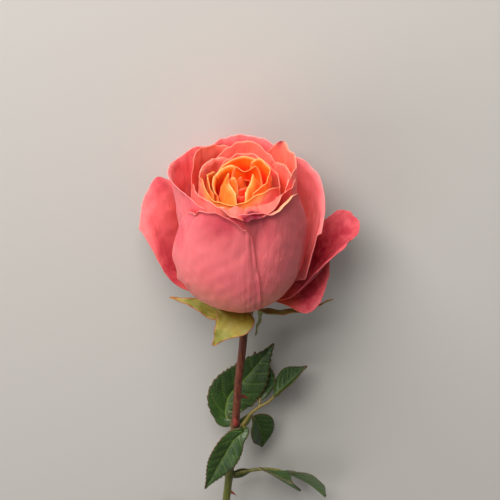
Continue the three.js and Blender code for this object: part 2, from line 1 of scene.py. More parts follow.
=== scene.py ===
# %% [markdown]
# # A garden rose, cut and laid on its back
# A half-open garden rose is about thirty petals wrapped round each other on a swollen hip, five sepals bent
# down under them, and a prickly stem with toothed compound leaves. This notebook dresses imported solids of
# such a stem: the solids fix where everything is, and finer pieces take their place here.

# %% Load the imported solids
import math

import bpy
import numpy as np
from mathutils import Matrix, Vector


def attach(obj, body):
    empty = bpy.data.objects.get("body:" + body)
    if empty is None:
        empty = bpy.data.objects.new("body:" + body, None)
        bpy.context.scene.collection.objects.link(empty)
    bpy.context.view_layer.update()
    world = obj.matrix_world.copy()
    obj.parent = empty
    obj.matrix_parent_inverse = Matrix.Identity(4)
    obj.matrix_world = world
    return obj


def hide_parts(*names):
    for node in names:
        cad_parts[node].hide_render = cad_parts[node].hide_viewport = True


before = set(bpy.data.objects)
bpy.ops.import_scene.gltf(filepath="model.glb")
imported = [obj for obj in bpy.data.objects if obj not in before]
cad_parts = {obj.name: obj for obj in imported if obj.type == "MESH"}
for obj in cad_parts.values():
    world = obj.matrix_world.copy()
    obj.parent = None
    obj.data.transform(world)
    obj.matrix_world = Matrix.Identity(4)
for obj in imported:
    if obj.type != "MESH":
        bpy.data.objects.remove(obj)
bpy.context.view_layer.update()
print("solids:", ", ".join(sorted(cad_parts)))

# %% [markdown]
# ## Two frames
# A rose is easiest to describe upright: x to the viewer's right, y away from the viewer, z up the flower,
# in millimetres, with the receptacle at the origin. Angles round the stem start at the viewer's side and grow
# to the right. The real stem lies on its back with the bloom towards +Y, so one function lays points down.

# %% Sizes that the stem lies by
MM = 0.001  # in the frame's metres
STEM_LENGTH = 205.0
STEM_RADIUS = 1.7
BACK_REACH = 31.0  # from the bloom's axis to the surface under it
RESTING_HEIGHT = 40.0  # how far up the bloom it touches that surface
LIFT = math.atan((BACK_REACH - STEM_RADIUS) / (STEM_LENGTH + RESTING_HEIGHT))
FLOOR_NORMAL = np.array([0.0, math.cos(LIFT), -math.sin(LIFT)])  # points down into the surface
FLOOR_DEPTH = BACK_REACH * math.cos(LIFT) - RESTING_HEIGHT * math.sin(LIFT)
RECEPTACLE = np.array([7.472469, 67.536349, FLOOR_DEPTH])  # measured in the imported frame


def turned(points):
    """Upright points turned on their back, still in millimetres round the receptacle."""
    x, y, z = np.moveaxis(np.asarray(points, float), -1, 0)
    sine, cosine = math.sin(LIFT), math.cos(LIFT)
    return np.stack([x, y * sine + z * cosine, z * sine - y * cosine], -1)


def laid(points):
    """Upright millimetres to the frame's metres."""
    return (turned(points) + RECEPTACLE) * MM


# %% Small tools for curves and unevenness
def along(values, t):
    """Catmull-Rom value through equally spaced numbers, or through points."""
    v = np.asarray(values, float)
    last = len(v) - 1
    t = np.asarray(t, float)
    if last == 0:
        return np.zeros(t.shape + v.shape[1:]) + v[0]
    x = np.clip(t, 0, 1) * last
    i = np.minimum(x.astype(int), last - 1)
    f, first, final = x - i, i > 0, i < last - 1
    if v.ndim > 1:
        f, first, final = f[..., None], first[..., None], final[..., None]
    b, c = v[i], v[i + 1]
    a = np.where(first, v[np.maximum(i - 1, 0)], 2 * b - c)
    d = np.where(final, v[np.minimum(i + 2, last)], 2 * c - b)
    return 0.5 * (2 * b + (c - a) * f + (2 * a - 5 * b + 4 * c - d) * f**2 + (3 * b - a - 3 * c + d) * f**3)


def smooth(t):
    """0 to 1 with soft ends."""
    t = np.clip(t, 0, 1)
    return t * t * (3 - 2 * t)


def unit(v):
    """Vectors of length one."""
    return v / (np.linalg.norm(v, axis=-1, keepdims=True) + 1e-12)


def ripple(x, y, size, seed):
    """Unevenness between about -1 and 1, in waves of about that size, the same for the same seed."""
    draw = np.random.default_rng(seed)
    total = 0.0
    for _ in range(7):
        turn, phase = draw.uniform(0, 2 * np.pi, 2)
        k = 2 * np.pi / (size * draw.uniform(0.7, 1.6))
        total = total + np.sin(k * (np.cos(turn) * x + np.sin(turn) * y) + phase)
    return total / 3.2


print("a third of the way along 0, 1 and 4:", round(float(along([0, 1, 4], 1 / 3)), 3))


# %% [markdown]
# ## Blades
# A petal, a sepal and a leaflet are the same thing to a modeller: a thin blade. Each is described here as a
# grid of points across and along it. One function gives the grid two skins and a rounded edge, so every blade
# is a closed body with a real thickness. Numbers that the finishes need, such as the distance to the edge,
# ride along as attributes.

# %% Two skins and a rounded edge
def skins(grid, thickness, marks):
    """Closed blade round grid[across, along]: points, four-sided faces and its marks, one value a point."""
    columns, rows = grid.shape[:2]
    across, up = np.gradient(grid, axis=0), np.gradient(grid, axis=1)
    half = (np.zeros((columns, rows)) + thickness)[..., None] / 2
    offset = unit(np.cross(across, up)) * half
    index = np.arange(columns * rows).reshape(columns, rows)
    outer = np.stack([index[:-1, :-1], index[1:, :-1], index[1:, 1:], index[:-1, 1:]], -1).reshape(-1, 4)
    border = np.concatenate([index[:-1, 0], index[-1, :-1], index[:0:-1, -1], index[0, :0:-1]])
    outward = np.zeros_like(grid)
    outward[:, 0] -= unit(up[:, 0])
    outward[:, -1] += unit(up[:, -1])
    outward[0] -= unit(across[0])
    outward[-1] += unit(across[-1])
    edge = (grid + unit(outward) * half).reshape(-1, 3)[border]
    points = np.concatenate([(grid + offset).reshape(-1, 3), (grid - offset).reshape(-1, 3), edge])
    count = columns * rows
    brim = 2 * count + np.arange(len(border))
    following, brim_next = np.roll(border, -1), np.roll(brim, -1)
    faces = np.concatenate([
        outer,
        outer[:, ::-1] + count,
        np.stack([border, brim, brim_next, following], -1),
        np.stack([brim, border + count, following + count, brim_next], -1),
    ])
    spread = {"inner": np.concatenate([np.zeros(count), np.ones(count), np.full(len(border), 0.5)])}
    for name, value in marks.items():
        flat = (np.zeros((columns, rows)) + value).ravel()
        spread[name] = np.concatenate([flat, flat, flat[border]])
    return points, [faces], spread


# %% One object from several blades
def linked(name, data):
    """A new object in the scene, still at the origin."""
    thing = bpy.data.objects.new(name, data)
    bpy.context.scene.collection.objects.link(thing)
    return thing


def add_piece(name, parts):
    """A mesh object of all parts, each (points, arrays of faces, marks), laid down with the flower."""
    points = np.concatenate([laid(part[0]) for part in parts])
    starts = np.cumsum([0] + [len(part[0]) for part in parts[:-1]])
    faces = [face + start for start, part in zip(starts, parts) for face in part[1]]
    mesh = bpy.data.meshes.new(name)
    mesh.vertices.add(len(points))
    mesh.vertices.foreach_set("co", points.astype(np.float32).ravel())
    corners = np.concatenate([face.ravel() for face in faces]).astype(np.int32)
    sizes = np.concatenate([np.full(len(face), face.shape[1]) for face in faces]).astype(np.int32)
    mesh.loops.add(len(corners))
    mesh.loops.foreach_set("vertex_index", corners)
    mesh.polygons.add(len(sizes))
    mesh.polygons.foreach_set("loop_start", (np.cumsum(sizes) - sizes).astype(np.int32))
    mesh.polygons.foreach_set("loop_total", sizes)
    mesh.update(calc_edges=True)
    mesh.polygons.foreach_set("use_smooth", np.ones(len(sizes), bool))
    for key in sorted({key for part in parts for key in part[2]}):
        values = np.concatenate([np.zeros(len(part[0])) + part[2].get(key, 0.0) for part in parts])
        attribute = mesh.attributes.new(key, "FLOAT", "POINT")
        attribute.data.foreach_set("value", values.astype(np.float32))
    print(f"{name}: {len(points)} points, {len(sizes)} faces")
    return linked(name, mesh)


# %% What every finished piece gets
def hand_over(piece, finish, slot, *nodes):
    """The piece gets its finish, stands for the solids and rides on the part's one body."""
    piece.data.materials.clear()
    piece.data.materials.append(finish)
    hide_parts(*nodes)
    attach(piece, "root")


# %% [markdown]
# ## One petal
# A rose petal springs from a narrow claw, swells out round the bloom and comes upright again at its rim,
# which often rolls outward. It could be modelled on a flat sheet and bent, but a curve that fits it is easier
# to hold. So its middle line is a Bezier curve from claw to rim, drawn in a half plane through the stem, and
# each side of the petal turns that curve round the stem by a part of the petal's width. The rim has a height
# and a distance from the stem at equally spaced places from its left corner to its right one.

# %% What petals share
PETAL_THICKNESS = 0.42
EDGE_THINNESS, THINNING = 0.62, 6.0  # share of that at the edge, and millimetres over which it thins
ROW_CROWDING = 1.2  # above 1, rows lie closer together towards the rim
CURVE_PER_CHORD = 1.12  # how much longer the bowed middle line is than a straight one
RIM_WAVE, FLUTTER_WAVE, CRINKLE_WAVE, PATCH = 6.0, 9.0, 3.2, 5.0  # millimetres, sizes of unevenness
RUFFLED_FROM = 0.35  # part of the petal's length where ruffles set in
FAN_WIDTH = 40.0  # millimetres over which veins are counted on either side
BLUSH, BLUSH_DEPTH = 0.12, 4.0  # strength of the flecks, and millimetres from the edge where they fade
USUAL = dict(
    half_left=None, lean=(0,), swell=(0,), roll=(0,), roll_len=2, brim=(0,), corner=0, cup=0, ruffle=0,
    waves=2, phase=0, flutter=0.35, crinkle=0.1, nicks=(), bulges=(), stains_and_shade=(), gilt=(), leather=(),
    plain_right=False,
)


# %% The petal's surface
def profile(p, s, v):
    """Distance from the stem, height and heading of the petal's section, and its length."""
    u = 2 * s - 1
    rim_h, rim_r = along(p["rim_h"], s) - p["corner"] * np.abs(u) ** 6, along(p["rim_r"], s)
    for where, width, depth in p["nicks"]:
        rim_h = rim_h - depth * np.exp(-(((u - where) / width) ** 2))
    rim_h = rim_h + p["flutter"] * ripple(s * FAN_WIDTH, 0 * s, RIM_WAVE, p["seed"])
    lean = np.radians(along(p["lean"], s))
    roll = np.maximum(np.radians(along(p["roll"], s)), 1e-3)
    r0, h0 = p["base"]
    rise = math.radians(p["rise"])
    out, back = along(np.atleast_1d(p["out"]), s), along(np.atleast_1d(p["back"]), s)
    corners = [
        (r0 + 0 * s, h0 + 0 * s),
        (r0 + out * math.cos(rise), h0 + out * math.sin(rise)),
        (rim_r - back * np.sin(lean), rim_h - back * np.cos(lean)),
        (rim_r, rim_h),
    ]
    body = CURVE_PER_CHORD * np.hypot(rim_r - r0, rim_h - h0)
    length = body + p["roll_len"] + along(p["brim"], s)
    roll_start, brim_start = body / length, (body + p["roll_len"]) / length
    t = np.clip(v / roll_start, 0, 1)
    weights = [(1 - t) ** 3, 3 * t * (1 - t) ** 2, 3 * t**2 * (1 - t), t**3]
    slopes = [3 * (1 - t) ** 2, 6 * t * (1 - t), 3 * t**2]
    r, h = (sum(w * c[k] for w, c in zip(weights, corners)) for k in (0, 1))
    dr, dh = (sum(w * (d[k] - c[k]) for w, c, d in zip(slopes, corners, corners[1:])) for k in (0, 1))
    bend = roll * np.clip((v - roll_start) / (brim_start - roll_start), 0, 1)
    radius = p["roll_len"] / roll
    over = v > roll_start
    r = np.where(over, rim_r + radius * (np.cos(lean) - np.cos(lean + bend)), r)
    h = np.where(over, rim_h + radius * (np.sin(lean + bend) - np.sin(lean)), h)
    heading = np.where(over, lean + bend, np.arctan2(dr, dh))
    beyond = np.maximum(v - brim_start, 0) * length
    return r + beyond * np.sin(heading), h + beyond * np.cos(heading), heading, length


def patches_at(places, u, v):
    """Soft patches, each (across, along, half width, half length, amount) in parts of the petal."""
    total = np.zeros(u.shape)
    for across, along_it, width, length, amount in places:
        total += amount * np.exp(-(((u - across) / width) ** 2) - ((v - along_it) / length) ** 2)
    return total


def pressed(grid):
    """Petals under the bloom are pressed flat where they meet the surface that it lies on."""
    painted_glow_depths = grid @ FLOOR_NORMAL - (FLOOR_DEPTH - PETAL_THICKNESS)
    return grid - np.maximum(painted_glow_depths, 0)[..., None] * FLOOR_NORMAL


def petal_blade(p, columns, rows):
    """The petal as a closed blade, thinner towards its edge."""
    levels = 1 - (1 - np.linspace(0, 1, rows)) ** ROW_CROWDING
    s, v = np.meshgrid(np.linspace(0, 1, columns), levels, indexing="ij")
    u = 2 * s - 1
    r, h, heading, length = profile(p, s, v)
    left, right = p["half_left"] or p["half"], p["half"]
    half = np.radians(np.where(u < 0, along(left, v), along(right, v)))
    across, upward = u * half * r, v * length
    growth = smooth((v - RUFFLED_FROM) / (1 - RUFFLED_FROM))
    wave = np.sin(2 * np.pi * (p["waves"] * s + p["phase"]))
    wave += 0.45 * np.sin(2 * np.pi * (1.9 * p["waves"] * s + 1.7 * p["phase"] + 0.3))
    inward = p["ruffle"] * growth * wave
    inward -= along(p["swell"], s) * np.sin(np.pi * v)
    inward -= patches_at(p["bulges"], u, v)
    inward += p["cup"] * u**2 * np.sin(np.pi / 2 * np.clip(1.4 * v, 0, 1))
    inward += p["flutter"] * 0.6 * growth**2 * ripple(across, upward, FLUTTER_WAVE, p["seed"] + 1)
    inward += p["crinkle"] * smooth(v * 3) * ripple(across, upward * 0.5, CRINKLE_WAVE, p["seed"] + 2)
    r, h = r - inward * np.cos(heading), h + inward * np.sin(heading)
    turn = math.radians(p["az"]) + u * half
    grid = pressed(np.stack([r * np.sin(turn), -r * np.cos(turn), h], -1))
    side, above = (1 - np.abs(u)) * half * r, (1 - v) * length
    edge = np.minimum(side, above)
    covered = p["plain_right"] & (u > 0)  # a side that shows no margin lies under the next petal
    blotches = smooth(0.5 + 0.9 * ripple(across, upward * 0.35, PATCH, p["seed"] + 3))
    widest = max(left), max(right)
    marks = {
        "upward": upward,
        "reach": v,
        "fan": FAN_WIDTH * u * np.where(u < 0, *widest) / max(widest) / (0.06 + 0.94 * v),
        "edge": np.minimum(side + 20 * covered, above),
        "blush": BLUSH * blotches * np.exp(-edge / BLUSH_DEPTH),
        "gilt": patches_at(p["gilt"], u, v),
        "leather": patches_at(p["leather"], u, v),
        # darker patches: real stains, and painted shade where a petal lies in the bloom's shadow
        "stain": patches_at(p["stains_and_shade"], u, v),
    }
    fullness = EDGE_THINNESS + (1 - EDGE_THINNESS) * smooth(edge / THINNING)
    return skins(grid, PETAL_THICKNESS * fullness, marks)


# %% [markdown]
# ## Finishes
# A finish is a small network of shader nodes. Every one here reads the marks that its mesh carries or Object
# coordinates, so the pattern sits on the petal wherever the camera stands. These helpers write a network in a
# few lines: one adds a node and fills its sockets, and the others are the steps that all finishes share.

# %% A finish, and one node of it
def new_finish(name, roughness, **sockets):
    """An empty material with its Principled shader; uniform values are set on the shader's own sockets."""
    material = bpy.data.materials.new(name)
    material.use_nodes = True
    shader = material.node_tree.nodes["Principled BSDF"]
    shader.inputs["Roughness"].default_value = roughness
    for socket, value in sockets.items():
        shader.inputs[socket.replace("_", " ")].default_value = value
    return material, shader, material.node_tree


def step(tree, kind, settings=None, **sockets):
    """Adds a node of that kind. A socket gets another node's output, or a plain value."""
    node = tree.nodes.new(kind)
    for key, value in (settings or {}).items():
        setattr(node, key, value)
    for key, value in sockets.items():
        socket = node.inputs[int(key[1:]) if key[1:].isdigit() else key.replace("_", " ")]
        if isinstance(value, bpy.types.NodeSocket):
            tree.links.new(value, socket)
        else:
            socket.default_value = value
    return node


# %% Steps that all finishes share
def mark(tree, name):
    """The mesh's mark of that name."""
    return step(tree, "ShaderNodeAttribute", {"attribute_name": name}).outputs["Fac"]


def sums(tree, operation, a, b=0.0, c=0.0):
    """One step of arithmetic."""
    return step(tree, "ShaderNodeMath", {"operation": operation}, _0=a, _1=b, _2=c).outputs[0]


def clamped(tree, value):
    """The value, held between 0 and 1."""
    return step(tree, "ShaderNodeClamp", Value=value).outputs[0]


def ramp(tree, value, low, high, start=0.0, end=1.0):
    """start at low and end at high, with soft turns between."""
    settings = {"interpolation_type": "SMOOTHSTEP"}
    sockets = {"Value": value, "From_Min": low, "From_Max": high, "To_Min": start, "To_Max": end}
    return step(tree, "ShaderNodeMapRange", settings, **sockets).outputs["Result"]


def blended(tree, share, below, above):
    """One colour turning into another. The numbers are the node's sockets for colours."""
    return step(tree, "ShaderNodeMix", {"data_type": "RGBA"}, _0=share, _6=below, _7=above).outputs[2]


def layered(tree, body, *layers):
    """A colour with layers over it, each the share that it takes and its tone."""
    for share, tone in layers:
        body = blended(tree, share, body, tone)
    return body


def flow(tree, across, along_it):
    """Place on a petal, stretched: the marks fan and upward, each divided by a length in millimetres."""
    sideways = sums(tree, "DIVIDE", mark(tree, "fan"), across)
    upwards = sums(tree, "DIVIDE", mark(tree, "upward"), along_it)
    return step(tree, "ShaderNodeCombineXYZ", X=sideways, Y=upwards).outputs[0]


def noise(tree, vector, scale, detail=3.0, rough=0.55, kind="FBM", twist=0.0):
    """Cloudy unevenness between 0 and 1."""
    node = step(tree, "ShaderNodeTexNoise", {"noise_dimensions": "3D", "noise_type": kind}, Vector=vector,
                Scale=scale, Detail=detail, Roughness=rough, Distortion=twist)
    return node.outputs["Fac"]


def object_place(tree):
    """Object coordinates, in metres."""
    return step(tree, "ShaderNodeTexCoord").outputs["Object"]


def joined(tree, shader, body, relief, depth):
    """Gives the shader its colour, and its relief of that depth in metres."""
    tree.links.new(body, shader.inputs["Base Color"])
    bump = step(tree, "ShaderNodeBump", Strength=0.5, Distance=depth, Height=relief)
    tree.links.new(bump.outputs["Normal"], shader.inputs["Normal"])


# %% Colours in screen values
def colour(red, green, blue):
    """A colour given in screen values from 0 to 255, as the shader's linear colour."""
    def linear(value):
        value /= 255
        return value / 12.92 if value <= 0.04045 else ((value + 0.055) / 1.055) ** 2.4
    return (linear(red), linear(green), linear(blue), 1.0)


print("a middle grey of 128 is", round(colour(128, 128, 128)[0], 3), "in linear light")


# %% [markdown]
# ## Petal finish
# A rose petal is not one pink. Its outer face is duller than its inner one, its belly is warmer and its claw
# is orange. That orange is also painted over the inner face deep in the bloom, as a painted glow of light
# that shines through the petals there, and a paler rim tone is a painted highlight where the thin edge
# catches light and lets it through. On the outer petals the inner tone is a little paler still, partly as
# painted light on inner faces that lie in shade. Crimson flecks gather near the rim, and a petal that was out
# in the weather has darker stains; some darker patches are painted shade instead, where a low outer petal
# lies in the bloom's shadow. Fine veins fan from the claw and are felt more than seen, and older skin is
# wrinkled like leather. So the finish is one tone under a stack of layers, each with a share that says where
# it shows. The cells of the surface make it velvety, so it has a little sheen, and light that enters comes
# out nearby, so it has subsurface scattering.

# %% Petal finish
def petal_finish(name, outer, inner, deep, belly, claw_and_glow, rim, stain, gold, painted_glow_depths, painted_glow_share=0.5, glow=0.35,
                 rim_highlight_reach=0.5, rim_highlight_share=0.4):
    """Tones of a petal. The claw's tone also fills the inner face between two depths, as a painted glow."""
    material, shader, tree = new_finish(
        name, 0.52, Subsurface_Weight=glow, Subsurface_Scale=0.0022, Subsurface_Radius=(1.0, 0.5, 0.36),
        Sheen_Weight=0.03, Sheen_Roughness=0.4, Sheen_Tint=(1.0, 0.9, 0.84, 1.0), Specular_IOR_Level=0.3,
    )
    place = object_place(tree)
    face = ramp(tree, mark(tree, "inner"), 0.2, 0.8)
    pale = ramp(tree, mark(tree, "reach"), 0.62, 0.2, 0.0, 0.8)
    cloud = ramp(tree, noise(tree, place, 70.0, 3.0), 0.36, 0.68)
    high = sums(tree, "MULTIPLY_ADD", face, -0.25, ramp(tree, mark(tree, "edge"), 16.0, 1.0, 0.12, 0.55))
    veins = noise(tree, flow(tree, 1.1, 22.0), 1.0, 4.0, 0.6)
    grain = noise(tree, flow(tree, 2.4, 9.0), 1.0, 4.0, 0.7)
    flecks = sums(tree, "MULTIPLY", mark(tree, "blush"), ramp(tree, grain, 0.36, 0.66, 0.6, 3.0))
    uneven = ramp(tree, noise(tree, place, 260.0, 3.0), 0.3, 0.7, 0.75, 1.05)
    stain_and_shade_amount = sums(tree, "MULTIPLY", mark(tree, "stain"), uneven)
    near_claw = ramp(tree, sums(tree, "MULTIPLY_ADD", veins, 0.1, mark(tree, "reach")), 0.44, 0.1)
    # painted glow: the inner face deep in the bloom takes the claw's orange, standing in for light through
    # the petals
    depth = ramp(tree, mark(tree, "edge"), painted_glow_depths[0], painted_glow_depths[1], 0.0, painted_glow_share)
    inside = sums(tree, "MULTIPLY", depth, face)
    body = layered(
        tree, blended(tree, face, blended(tree, pale, outer, belly), inner),
        (sums(tree, "MULTIPLY", high, cloud), deep),  # clouds, most of all near the edge
        (ramp(tree, veins, 0.45, 0.75, 0.0, 0.08), deep),
        # painted highlight: a paler rim where the thin edge catches light and lets it through
        (ramp(tree, mark(tree, "edge"), rim_highlight_reach, 0.0, 0.0, rim_highlight_share), rim),
        (ramp(tree, mark(tree, "gilt"), 0.0, 1.0), gold),
        (clamped(tree, flecks), deep),
        # darker patches: real stains, and painted shade where a petal lies in the bloom's shadow
        (clamped(tree, stain_and_shade_amount), stain),
        # the claw's own orange, and painted glow of light through the petals on the inner face deep in the
        # bloom
        (sums(tree, "MAXIMUM", near_claw, inside), claw_and_glow),
    )
    skin = noise(tree, flow(tree, 5.0, 6.0), 1.0, 3.0, 0.5)
    wrinkle = noise(tree, flow(tree, 2.4, 2.6), 1.0, 3.0, 0.6, "RIDGED_MULTIFRACTAL", 0.4)
    leather = sums(tree, "MULTIPLY", wrinkle, mark(tree, "leather"))
    cells = noise(tree, place, 2600.0, 2.0)
    relief = sums(tree, "MULTIPLY_ADD", cells, 0.08, sums(tree, "MULTIPLY_ADD", veins, 0.15, skin))
    joined(tree, shader, body, sums(tree, "MULTIPLY_ADD", leather, 1.3, relief), 0.0005)
    return material


# The inner tone is a little paler than the outer one, partly as painted light on inner faces that lie in
# shade.
OUTER_FINISH = petal_finish(
    "outer_petal", outer=colour(246, 116, 122), inner=colour(250, 124, 126), deep=colour(206, 54, 80),
    belly=colour(252, 148, 118), claw_and_glow=colour(244, 110, 80), rim=colour(250, 164, 150),
    stain=colour(156, 20, 50), gold=colour(232, 156, 116), painted_glow_depths=(8.0, 26.0), painted_glow_share=0.35, rim_highlight_share=0.3,
)
MIDDLE_FINISH = petal_finish(
    "middle_petal", outer=colour(252, 122, 116), inner=colour(253, 128, 110), deep=colour(240, 92, 92),
    belly=colour(255, 140, 100), claw_and_glow=colour(250, 90, 40), rim=colour(255, 184, 154),
    stain=colour(118, 16, 40), gold=colour(255, 170, 90), painted_glow_depths=(3.0, 14.0), painted_glow_share=0.75, glow=0.5,
    rim_highlight_share=0.25,
)
HEART_FINISH = petal_finish(
    "heart_petal", outer=colour(255, 138, 56), inner=colour(255, 116, 22), deep=colour(255, 92, 20),
    belly=colour(255, 110, 26), claw_and_glow=colour(250, 40, 6), rim=colour(255, 186, 124), stain=colour(216, 16, 2),
    gold=colour(255, 180, 90), painted_glow_depths=(1.5, 7.0), painted_glow_share=0.9, glow=0.6, rim_highlight_reach=1.4, rim_highlight_share=0.6,
)
print("petal finishes:", OUTER_FINISH.name, MIDDLE_FINISH.name, HEART_FINISH.name)

# %% [markdown]
# ## The petals, from the outside inwards
# Guard petals loosen first and stand away from the bloom. The cup petals hold it together, the inner and
# ring petals nest in them, and the heart is still tightly wrapped, with flames and a scroll round a core.
# Petals of one whorl start alike, so a first table holds what each whorl shares, and the others what is each
# petal's own. Lengths are in millimetres and angles in degrees.
#
# - Place: `az` is where the middle points and `half` its half width from claw to rim (`half_left` where the
#   left side differs).
# - Middle line: `base` is its start (distance and height), which leaves at the angle `rise` with the pull
#   `out`. It ends at `rim_r` and `rim_h`, outward by `lean`, with the pull `back`. Several numbers for one of
#   these run from left to right.
# - Rim: `roll` turns it outward over `roll_len`, `brim` goes straight on from there, `corner` lowers both
#   ends and `nicks` are small tears (place, half width, depth).
# - Surface: `swell` and `bulges` push it out, `cup` hollows it, and `ruffle` (with `waves` and `phase`),
#   `flutter` and `crinkle` make it uneven, from large waves to small.
# - Look: `stains_and_shade`, `gilt` (a golden margin) and `leather` are soft patches. The darker patches are
#   partly real stains and partly painted shade where a low petal lies in the bloom's shadow. `plain_right`
#   hides the right side's margin, since another petal covers it.

# %% What each whorl shares
WHORLS = {
    "guard": {},
    "cup": {},
    "inner": dict(base=(2.9, 3.6), rise=17, back=22, lean=(-3,), roll=(10,), corner=0.5, ruffle=0.2, waves=3),
    "ring": dict(base=(2.6, 4.8), rise=18, back=22, out=15, lean=(-5,), corner=1, ruffle=0.3, waves=3),
    "heart": dict(base=(2.2, 8.4), rise=18, back=20, out=10, lean=(-6,), roll=(20,), roll_len=1.5, corner=0.5,
                  ruffle=0.3, waves=3, flutter=0.15, crinkle=0.05),
    "flame": dict(base=(2, 9), rise=20, back=6.5, out=12, roll_len=1, corner=0.3, flutter=0.1, crinkle=0.05),
    "scroll": dict(base=(2, 9), rise=20, back=6, out=8, roll_len=1, corner=0.3, flutter=0.05, crinkle=0.05),
    "core": dict(rise=24, roll_len=0.5, flutter=0.05, crinkle=0.05),
}
# Columns, rows, finish, slot, and the solid that the whole whorl shares
LOOKS = {
    "guard": (90, 84, OUTER_FINISH, "outer_petal", None),
    "cup": (96, 90, OUTER_FINISH, "outer_petal", None),
    "inner": (80, 64, MIDDLE_FINISH, "middle_petal", "bloom_middle"),
    "ring": (80, 60, MIDDLE_FINISH, "middle_petal", "bloom_middle"),
    "heart": (64, 56, HEART_FINISH, "heart_petal", "bloom_heart"),
    "flame": (48, 48, HEART_FINISH, "heart_petal", "bloom_heart"),
    "scroll": (48, 48, HEART_FINISH, "heart_petal", "bloom_heart"),
    "core": (48, 48, HEART_FINISH, "heart_petal", "bloom_heart"),
}
print("whorls:", ", ".join(WHORLS))

